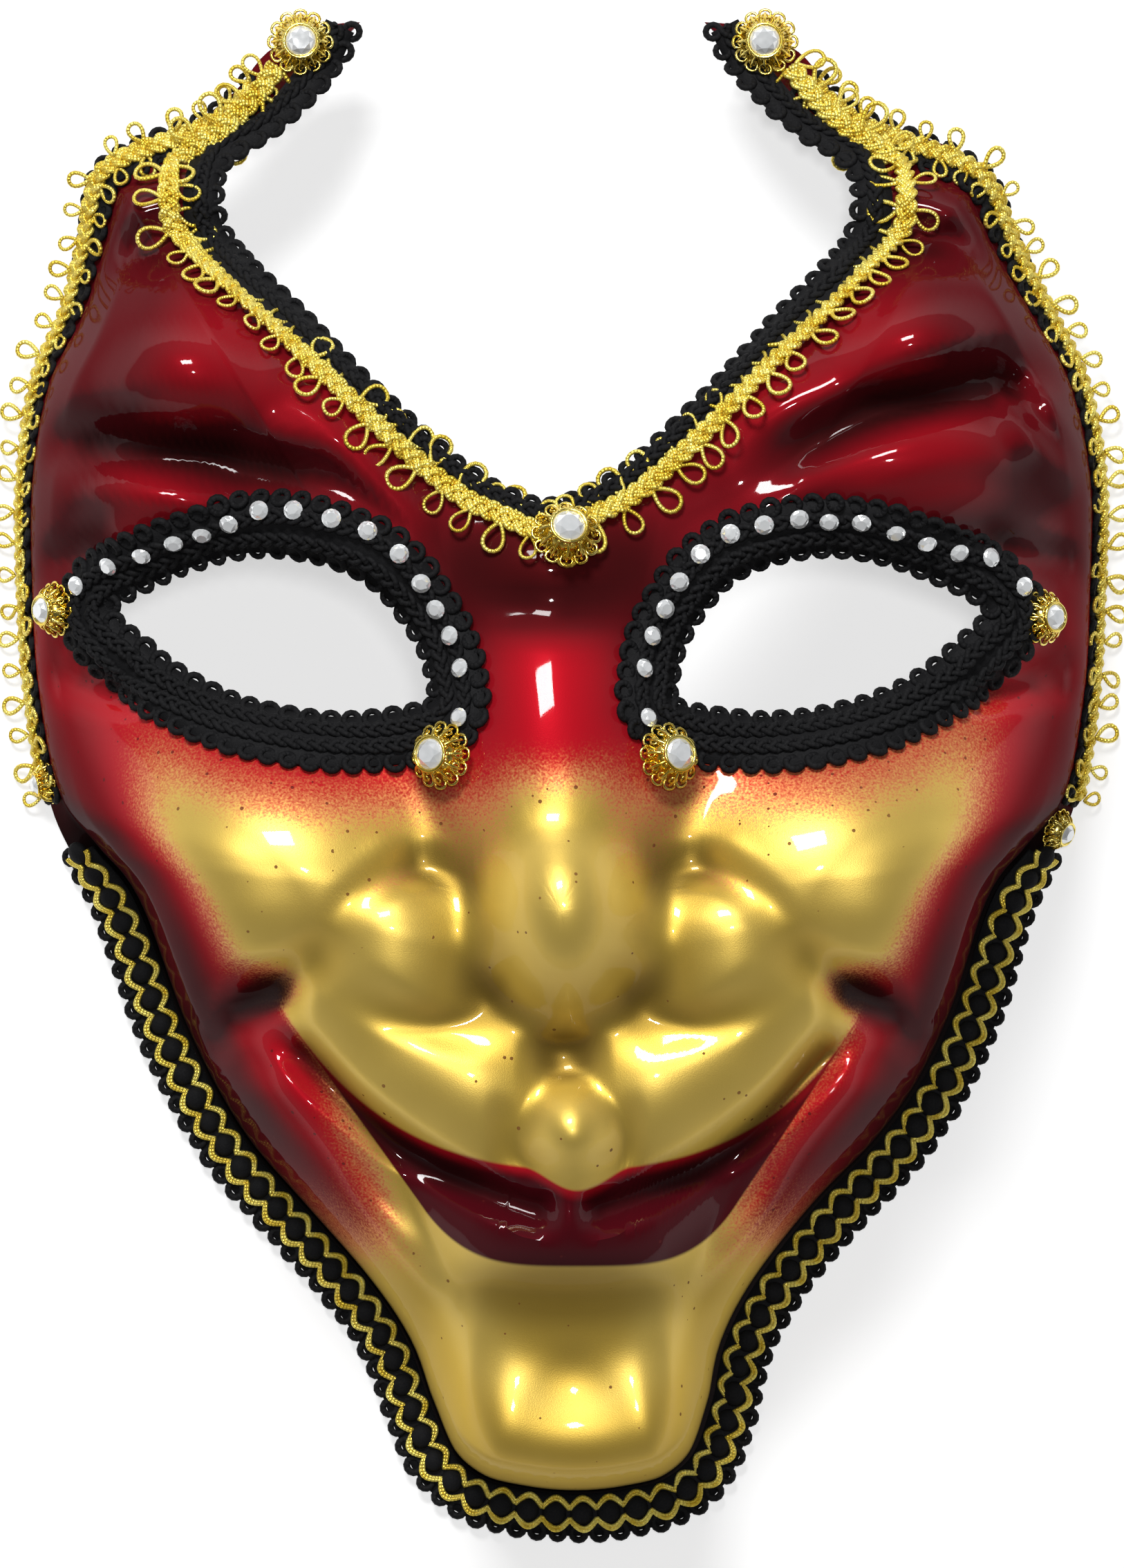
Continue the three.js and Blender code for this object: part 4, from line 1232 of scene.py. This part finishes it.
def puffTree():  # row of soft round pads along a path
    sizes = ["Pitch", "Long", "Wide", "High", "Lift"]
    tree, board, given = geometryBoard("puffs", sizes=sizes, counts=["Seed"])
    up, across = namedVector(board, "up"), namedVector(board, "across")
    rows = moved(board, spaced(board, given["Path"], given["Pitch"]), board.stretched(up, given["Lift"]))
    segments, rings = padSteps
    sphere = {"Segments": segments, "Rings": rings, "Radius": 1.0}
    ball = board.node("GeometryNodeMeshUVSphere", None, sphere)["Mesh"]
    size = board.vector(given["Wide"], given["Long"], given["High"])
    size = board.stretched(size, chance(board, *handwork["padSize"], given["Seed"]))
    yaw = eitherWay(board, handwork["padTurn"], given["Seed"])
    stand = turned(board, facing(board, up, across), yaw=yaw)
    closeTree(board, placed(board, rows, ball, stand, size), given["Finish"])
    return tree


# Shares of the setting's foot; a ring is distance from the axis, height and radius
filigree = {
    "petals": 12,
    "petalFoot": (0.62, 0.1),
    "petalLength": 0.46,
    "petalWidth": 0.40,
    "petalTip": 0.12,
    "petalSteps": 14,
    "wire": 0.052,
    "ribs": 12,
    "ribFoot": (0.95, 0.06),
    "ribMiddle": (0.92, 0.46),
    "ribTop": (0.58, 0.62),
    "ribSteps": 6,
    "scrolls": 12,
    "scrollRing": (0.82, 0.30, 0.13),
    "scrollWire": 0.8,  # beside the other wires
    "scrollTip": 0.95,
    "scrollSteps": 10,
    "granules": 18,
    "granuleRing": (0.60, 0.64, 0.075),
    "granuleSteps": 2,
    "collarRing": (0.56, 0.74, 0.06),
    "collarSteps": 28,
    "cone": (0.86, 0.50, 0.02, 0.66),  # lower and upper radius, lower and upper height
    "coneSides": 24,
}
pointSize = 0.001  # of the points that carry a setting or a stone


def filigreeTree():  # pierced setting round a stone, for each point of the path
    tree, board, given = geometryBoard("filigree", sizes=["Foot"])
    s = filigree
    axes = board.axes(board.node("GeometryNodeInputPosition"))
    outward = board.vector(axes["X"], axes["Y"])
    upright = (0.0, 0.0, 1.0)
    thin = s["wire"]
    parts = []

    def around(count, radius, height, piece, tip=0.0):  # copies of a piece round the axis
        circle = moved(board, ringCurve(board, radius, count), board.vector(z=height))
        points = board.node("GeometryNodeCurveToPoints", {"mode": "EVALUATED"}, {"Curve": circle})["Points"]
        stand = turned(board, facing(board, upright, outward), pitch=tip)
        parts.append(placed(board, points, piece, stand))

    def raised(piece, height):
        lift = {"Geometry": piece, "Translation": (0.0, 0.0, height)}
        parts.append(board.node("GeometryNodeTransform", None, lift))

    petal = teardrop(board, s["petalLength"], s["petalWidth"], s["petalSteps"])
    around(s["petals"], *s["petalFoot"], wire(board, petal, thin, wireSides), s["petalTip"])
    (footX, footZ), (midX, midZ), (topX, topZ) = s["ribFoot"], s["ribMiddle"], s["ribTop"]
    bow = {
        "Resolution": s["ribSteps"],
        "Start": (0.0, 0.0, 0.0),
        "Middle": (midX - footX, 0.0, midZ - footZ),
        "End": (topX - footX, 0.0, topZ - footZ),
    }
    rib = wire(board, board.node("GeometryNodeCurveQuadraticBezier", None, bow), thin, wireSides)
    around(s["ribs"], footX, footZ, rib)
    distance, height, radius = s["scrollRing"]
    scroll = wire(board, ringCurve(board, radius, s["scrollSteps"]), thin * s["scrollWire"], wireSides)
    around(s["scrolls"], distance, height, scroll, s["scrollTip"])
    distance, height, radius = s["granuleRing"]
    ball = {"Radius": radius, "Subdivisions": s["granuleSteps"]}
    granule = board.node("GeometryNodeMeshIcoSphere", None, ball)["Mesh"]
    around(s["granules"], distance, height, granule)
    distance, height, radius = s["collarRing"]
    raised(wire(board, ringCurve(board, distance, s["collarSteps"]), radius, cordSides), height)
    low, high, base, top = s["cone"]
    cone = {"Vertices": s["coneSides"], "Radius Bottom": low, "Radius Top": high, "Depth": top - base}
    raised(board.node("GeometryNodeMeshCone", None, cone)["Mesh"], base)
    whole = board.node("GeometryNodeJoinGeometry", None, {"Geometry": parts})
    points = board.node("GeometryNodeMeshToPoints", None, {"Mesh": given["Path"], "Radius": pointSize})
    stand = pathStand(board)
    closeTree(board, placed(board, points, whole, stand, given["Foot"]), given["Finish"])
    return tree


def stoneTree():  # the cut stone on each point of the path
    tree, board, given = geometryBoard("stones", sizes=["Size"], counts=["Seed"], patterns=["Stone"])
    stone = board.node("GeometryNodeObjectInfo", None, {"Object": given["Stone"]})["Geometry"]
    points = board.node("GeometryNodeMeshToPoints", None, {"Mesh": given["Path"], "Radius": pointSize})
    stand = pathStand(board)
    stand = turned(board, stand, yaw=chance(board, 0.0, handwork["stoneTurn"], given["Seed"]))
    closeTree(board, placed(board, points, stone, stand, given["Size"]), given["Finish"], False)
    return tree


trees = {
    "scallops": scallopTree(),
    "plait": plaitTree(),
    "picots": picotTree(),
    "puffs": puffTree(),
    "filigree": filigreeTree(),
    "stones": stoneTree(),
}
print("geometry trees made:", len(trees))


def ribbon(name, paths):  # closed gimp band over lines side by side, the first and last its lower edges
    rows = np.stack([path["points"] for path in paths])
    closed = paths[0]["closed"]
    lines, count = rows.shape[:2]
    faces = []
    for i in range(count if closed else count - 1):
        j = (i + 1) % count
        for a in range(lines):
            b = (a + 1) % lines
            faces.append((a * count + i, a * count + j, b * count + j, b * count + i))
    if not closed:
        faces += [tuple(a * count for a in range(lines)),
                  tuple(a * count + count - 1 for a in reversed(range(lines)))]
    made = meshObject(name, rows.reshape(-1, 3), faces)
    made.data.materials.append(finishes["gimp"])
    made.data.shade_smooth()
    return made


def rowLength(path):
    points = path["points"]
    steps = np.linalg.norm(np.diff(points, axis=0), axis=1).sum()
    return steps + (np.linalg.norm(points[0] - points[-1]) if path["closed"] else 0)


def wholeRepeats(path, length):
    return round(rowLength(path) / (length * mm))


def sewn(name, paths, tree, finish, lengths, **plain):  # a trim along paths, its lengths in millimetres
    sizes = {key: value * mm for key, value in lengths.items()}
    return grow(pathObject(name, paths), trees[tree], **sizes, **plain, Finish=finishes[finish])


def scalloped(name, paths, trim):
    return sewn(name, paths, "scallops", "gimp", trim["scallop"], Tilt=trim["tilt"], Seed=trim["seed"])


def plaited(name, line, finish, lengths, waves, strands=3, wires=1):
    return sewn(name, [line], "plait", finish, lengths, Waves=float(waves), Strands=strands, Wires=wires)


# Black braids round the eyes

eyeBraid = {
    "spacing": 0.9,
    "band": ((0.8, 0.2), (0.8, 0.9), (-1.8, 1.5), (-4.4, 1.5), (-7.2, 0.9), (-7.2, 0.2)),  # across, height
    "edges": ((0.3, 0.8), (-6.9, 0.8)),
    "plaits": ((-1.9, 1.5), (-4.6, 1.5)),
    "scallop": {"Pitch": 3.4, "Ring": 1.25, "Cord": 0.55},
    "tilt": 0.25,
    "seed": 3,
    "strand": {"Step": 0.7, "Sway": 0.95, "Over": 0.35, "Lift": 0.2, "Wire": 0.5},
    "wave": 6.2,
}


def makeEyeBraid(side, name):
    s = eyeBraid
    rows = eyeRows if side > 0 else mirrored(eyeRows)

    def lines(key):
        return [facePath(rows, True, s["spacing"], across, lift) for across, lift in s[key]]

    parts = [ribbon("eyeBand", lines("band")), scalloped("eyeScallops", lines("edges"), s)]
    for line in lines("plaits"):
        parts.append(plaited("eyePlait", line, "gimp", s["strand"], wholeRepeats(line, s["wave"])))
    finishPiece(joined(f"eyeBraid{name.title()}", parts), "gimp", f"eye_braid_{name}")


bothSides = (("left", -1), ("right", 1))
for sideName, sign in bothSides:
    makeEyeBraid(sign, sideName)


# Black braid along the notch, under the metal one; its lines are across, share of the width, height

notchBraid = {
    "spacing": 0.9,
    "band": ((-0.5, 0, 0.2), (-0.5, 0, 0.9), (-0.5, -0.5, 1.3), (-1.4, -1, 0.9), (-1.4, -1, 0.2)),
    "edge": (-0.9, 0, 0.7),
    "plait": (-1.0, -0.5, 1.3),
    "scallop": {"Pitch": 3.4, "Ring": 1.25, "Cord": 0.55},
    "tilt": 0.25,
    "seed": 5,
    "strand": {"Step": 0.7, "Sway": 0.9, "Over": 0.35, "Lift": 0.1, "Wire": 0.5},
    "wave": 6.0,
}


def makeNotchBraid():
    s = notchBraid
    rows = bothHalves(notchRows)

    def line(across, share, lift):
        return facePath(rows, False, s["spacing"], lambda even: across + share * even[:, 2], lift)

    band, edge, plait = [line(*place) for place in s["band"]], line(*s["edge"]), line(*s["plait"])
    parts = [ribbon("notchBand", band), scalloped("notchScallops", [edge], s)]
    parts.append(plaited("notchPlait", plait, "gimp", s["strand"], wholeRepeats(plait, s["wave"])))
    finishPiece(joined("notchBraid", parts), "gimp", "notch_braid")


makeNotchBraid()


# Metal braids: a flat plait with wire loops on both sides

goldBraid = {
    "spacing": 0.6,
    "lift": 1.6,
    "strand": {"Step": 0.45, "Sway": 1.15, "Over": 0.42, "Wire": 0.40, "Gap": 0.62},
    "wave": 6.4,
    "loop": {"Pitch": 5.1, "Half": 1.1, "Length": 4.6, "Width": 3.0, "Wire": 0.34},
    "splay": -0.12,
    "seed": 11,
}


def metalBraid(name, path, seed, lowerSplay=goldBraid["splay"], reach=1.0):
    s = goldBraid
    parts = [plaited(f"{name}Core", path, "thread", s["strand"], wholeRepeats(path, s["wave"]), wires=2)]
    halfPitch = round(s["loop"]["Pitch"] / 2 / s["spacing"])
    loop = s["loop"] | {key: s["loop"][key] * reach for key in ("Length", "Width")}
    sides = [oneSide(path, 1, lowerSplay, 0), oneSide(path, -1, s["splay"], halfPitch)]
    for number, line in enumerate(sides):
        parts.append(sewn(f"{name}Loops", [line], "picots", "thread", loop, Seed=seed + 10 * number))
    return joined(name, parts)


goldPath = facePath(bothHalves(goldRows), False, goldBraid["spacing"], 0.0, goldBraid["lift"])
finishPiece(metalBraid("notchGoldBraid", goldPath, goldBraid["seed"]), "metal_braid", "notch_gold_braid")

# An inset is measured from the edge, on flat ground, and a second value is added on steep ground
sideBraid = {
    "inset": 2.7,
    "lift": 1.3,
    "inner": 44,
    "top": 112,
    "bottom": -3,
    "splay": 0.8,
    "loops": 0.75,  # size of the loops beside those at the notch
    "braidSeed": 21,
    "bed": ((5.6, 0.0), (-0.4, 2.2)),
    "bedLift": (0.15, 0.5, 0.75),
    "scallop": {"Pitch": 3.4, "Ring": 1.1, "Cord": 0.5},
    "tilt": 0.2,
    "seed": 7,
}


def makeSideBraid(side, name):
    s = sideBraid

    def keep(edge):
        return (edge[:, 0] * side > s["inner"]) & (edge[:, 1] < s["top"]) & (edge[:, 1] > s["bottom"])

    def line(inset, lift):
        return edgePath(keep, goldBraid["spacing"], inset, lift)

    path = line(s["inset"], s["lift"])
    splay = s["splay"] * path["stands"]
    braid = metalBraid(f"sideBraid{name.title()}", path, s["braidSeed"] + side, splay, s["loops"])
    finishPiece(braid, "metal_braid", f"side_braid_{name}")
    (high, low), (foot, edge, top) = s["bed"], s["bedLift"]
    sections = ((low, foot), (low, edge), (s["inset"], top), (high, edge), (high, foot))
    parts = [ribbon("sideBed", [line(*section) for section in sections])]
    parts.append(scalloped("sideScallops", [line(inset, edge) for inset in s["bed"]], s))
    finishPiece(joined(f"sideGimp{name.title()}", parts), "gimp")


for sideName, sign in bothSides:
    makeSideBraid(sign, sideName)


# Jaw trim: black pads between two wavy metal cords, over a scalloped black band

jawTrim = {
    "top": -12,
    "spacing": 0.9,
    "band": ((-0.6, 0.15), (-0.6, 0.7), (2.9, 1.0), (6.2, 0.7), (6.2, 0.15)),  # inset from the edge, height
    "rim": (-0.1, 0.7),
    "scallop": {"Pitch": 3.3, "Ring": 1.15, "Cord": 0.55},
    "tilt": 0.2,
    "seed": 9,
    "padLine": (3.0, 1.0),
    "padPitch": 4.4,
    "padSpare": 0.01,  # keeps the last pad on the line
    "pad": {"Long": 1.95, "Wide": 1.85, "High": 1.3, "Lift": 0.2},
    "padSeed": 13,
    "cordLines": ((2.2, 1.6), (3.8, 1.6)),
    "cordSpacing": 0.5,
    "cord": {"Step": 0.4, "Arch": 1.7, "Wire": 0.34, "Gap": 0.5},
}


def makeJawTrim():
    s = jawTrim

    def line(inset, lift, spacing=s["spacing"]):
        return edgePath(lambda edge: edge[:, 1] < s["top"], spacing, inset, lift)

    parts = [ribbon("jawBand", [line(*place) for place in s["band"]])]
    parts.append(scalloped("jawScallops", [line(*s["rim"])], s))
    middle = line(*s["padLine"])
    pads = wholeRepeats(middle, s["padPitch"])
    pitch = rowLength(middle) / (pads + s["padSpare"])
    parts.append(sewn("jawPads", [middle], "puffs", "gimp", s["pad"], Pitch=pitch, Seed=s["padSeed"]))
    finishPiece(joined("jawGimp", parts), "jaw_gimp", "jaw_braid")
    cords = []
    for place, side in zip(s["cordLines"], (1, -1)):
        cord = s["cord"] | {"Arch": side * s["cord"]["Arch"]}
        path = line(*place, s["cordSpacing"])
        cords.append(plaited("jawCord", path, "thread", cord, pads, strands=1, wires=2))
    finishPiece(joined("jawGoldCords", cords), "metal_braid")


makeJawTrim()


# Stones and their settings stand where the solids do

def nodeStand(node):  # foot, axis and radius of a round solid
    points = vertexVectors(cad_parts[node].data.vertices, "co")
    points = np.unique(points.round(6), axis=0).astype(float)
    middle = points.mean(axis=0)
    up = np.linalg.eigh(np.cov((points - middle).T))[1][:, 0]
    up = up if up[2] > 0 else -up
    heights = (points - middle) @ up
    radius = np.linalg.norm(points - middle - np.outer(heights, up), axis=1).max()
    return middle + up * heights.min(), up, radius


def standObject(name, stands):  # a point for each stone or setting
    ups = np.array([stand[1] for stand in stands])
    made = meshObject(name, [stand[0] for stand in stands])
    setVectors(made.data, "up", ups)
    setVectors(made.data, "across", unit(np.cross(np.cross(ups, (1.0, 0.0, 0.0)), ups)))
    return made


cutStone = {  # shares of its radius
    "table": 0.56,
    "tableHeight": 0.52,
    "break": 0.84,
    "breakHeight": 0.27,
    "girdle": 0.10,
    "culet": -0.22,
}


def makeCutStone():  # stone of radius 1: table, eight kites, sixteen lower facets and a girdle
    s = cutStone
    turn = np.arange(8) * math.pi / 4
    half = turn + math.pi / 8
    sixteen = np.arange(16) * math.pi / 8

    def ring(angles, radius, height):
        return [(radius * math.cos(a), radius * math.sin(a), height) for a in angles]

    points = ring(turn, s["table"], s["tableHeight"]) + ring(half, s["break"], s["breakHeight"])
    points += ring(sixteen, 1.0, s["girdle"]) + ring(sixteen, 1.0, 0.0) + [(0.0, 0.0, s["culet"])]
    faces = [tuple(range(8))]
    for i in range(8):
        j, h = (i + 1) % 8, (i - 1) % 8
        corner, between, after = 16 + 2 * i, 16 + 2 * i + 1, 16 + (2 * i + 2) % 16
        faces += [(i, 8 + i, j), (8 + h, corner, 8 + i, i)]
        faces += [(8 + i, corner, between), (8 + i, between, after)]
    for i in range(16):
        j = (i + 1) % 16
        faces += [(16 + i, 32 + i, 32 + j, 16 + j), (32 + i, 48, 32 + j)]
    return meshObject("cutStone", points, faces)


stonePattern = makeCutStone()


def setStones(name, stands, radius, seed, *nodes):
    row = standObject(name, stands)
    grow(row, trees["stones"], Size=float(radius), Seed=seed, Stone=stonePattern, Finish=finishes["crystal"])
    finishPiece(row, "crystal", *nodes)


rhinestones = {"count": 16, "seat": 2.3, "seed": 17}  # seat is the height of a stone's foot over the face


def raisedStand(foot, up, radius):  # a stone lifted clear of the braid under it
    x, y = toPlan(foot[None])
    above = (foot[2] / mm - faceHeight(x, y)[0]) * up[2]
    return foot + up * max(0.0, rhinestones["seat"] - above) * mm, up, radius


for sideName, sign in bothSides:
    nodes = [f"rhinestone_{sideName}_{i + 1:02d}" for i in range(rhinestones["count"])]
    stands = [raisedStand(*nodeStand(node)) for node in nodes]
    setStones(f"rhinestones{sideName.title()}", stands, stands[0][2], rhinestones["seed"], *nodes)

gemStone = {"radius": 0.53, "height": 0.66, "seed": 19}  # shares of the setting's foot
for node in [node for node in sorted(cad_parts) if node.startswith("gem_")]:
    foot, up, radius = nodeStand(node)
    words = "".join(word.title() for word in node.split("_")[1:])
    setting = standObject(f"gemSetting{words}", [(foot, up)])
    grow(setting, trees["filigree"], Foot=float(radius), Finish=finishes["filigree"])
    finishPiece(setting, "filigree", node)
    seat = foot + up * radius * gemStone["height"]
    setStones(f"gemStone{words}", [(seat, up)], radius * gemStone["radius"], gemStone["seed"])
bpy.data.objects.remove(stonePattern)


# Floor, light and camera

studio = {
    "floorSize": 6.0,
    "horizon": (0.30, 0.30, 0.31),  # the room is pale all round and dark overhead
    "zenith": (0.05, 0.05, 0.05),
    "fade": (0.05, 0.85),
    "frameHeight": 0.250,  # height of the picture at the plane of the rim
    "planeZ": 0.018,
    "middle": (0.00011, -0.0007),
    "distance": 1.9,
    "sensor": 36.0,
    "clip": (0.05, 20),
    "aim": (0, 0, 0.03),  # of the lamps
}

# name, place, size, power
lamps = [
    ("windowLamp", (-0.35, 1.40, 1.85), (0.72, 0.50), 52.0),
    ("nearLamp", (0.06, 0.10, 2.00), (0.14, 0.14), 13.0),
]


def makeStudio():
    half = studio["floorSize"] / 2
    corners = [(-half, -half, 0), (half, -half, 0), (half, half, 0), (-half, half, 0)]
    floor = meshObject("floor", corners, [(0, 1, 2, 3)])
    floor.data.materials.append(finishes["floor"])
    world = bpy.data.worlds.new("studio")
    world.use_nodes = True
    world.node_tree.nodes.clear()
    board = Board(world.node_tree)
    height = board.axes(board.node("ShaderNodeTexCoord")["Object"])["Z"]
    room = board.blend(board.ramp(height, *studio["fade"]), studio["horizon"], studio["zenith"])
    backdrop = board.node("ShaderNodeBackground", None, {"Color": room})
    board.node("ShaderNodeOutputWorld", None, {"Surface": backdrop})
    bpy.context.scene.world = world
    for name, place, size, power in lamps:
        lamp = bpy.data.lights.new(name, "AREA")
        lamp.shape = "RECTANGLE"
        lamp.size, lamp.size_y = size
        lamp.energy = power
        made = bpy.data.objects.new(name, lamp)
        made.location = place
        aim = Vector(studio["aim"]) - made.location
        made.rotation_euler = aim.to_track_quat("-Z", "Y").to_euler()
        bpy.context.scene.collection.objects.link(made)


def makeCamera():
    camera = bpy.data.cameras.new("photoCamera")
    camera.sensor_width = studio["sensor"]
    camera.lens = studio["sensor"] * studio["distance"] / studio["frameHeight"]
    camera.clip_start, camera.clip_end = studio["clip"]
    made = bpy.data.objects.new("photoCamera", camera)
    made.location = (*studio["middle"], studio["planeZ"] + studio["distance"])
    bpy.context.scene.collection.objects.link(made)
    bpy.context.scene.camera = made


makeStudio()
makeCamera()
bpy.context.scene.view_settings.view_transform = "Standard"
print("studio made")
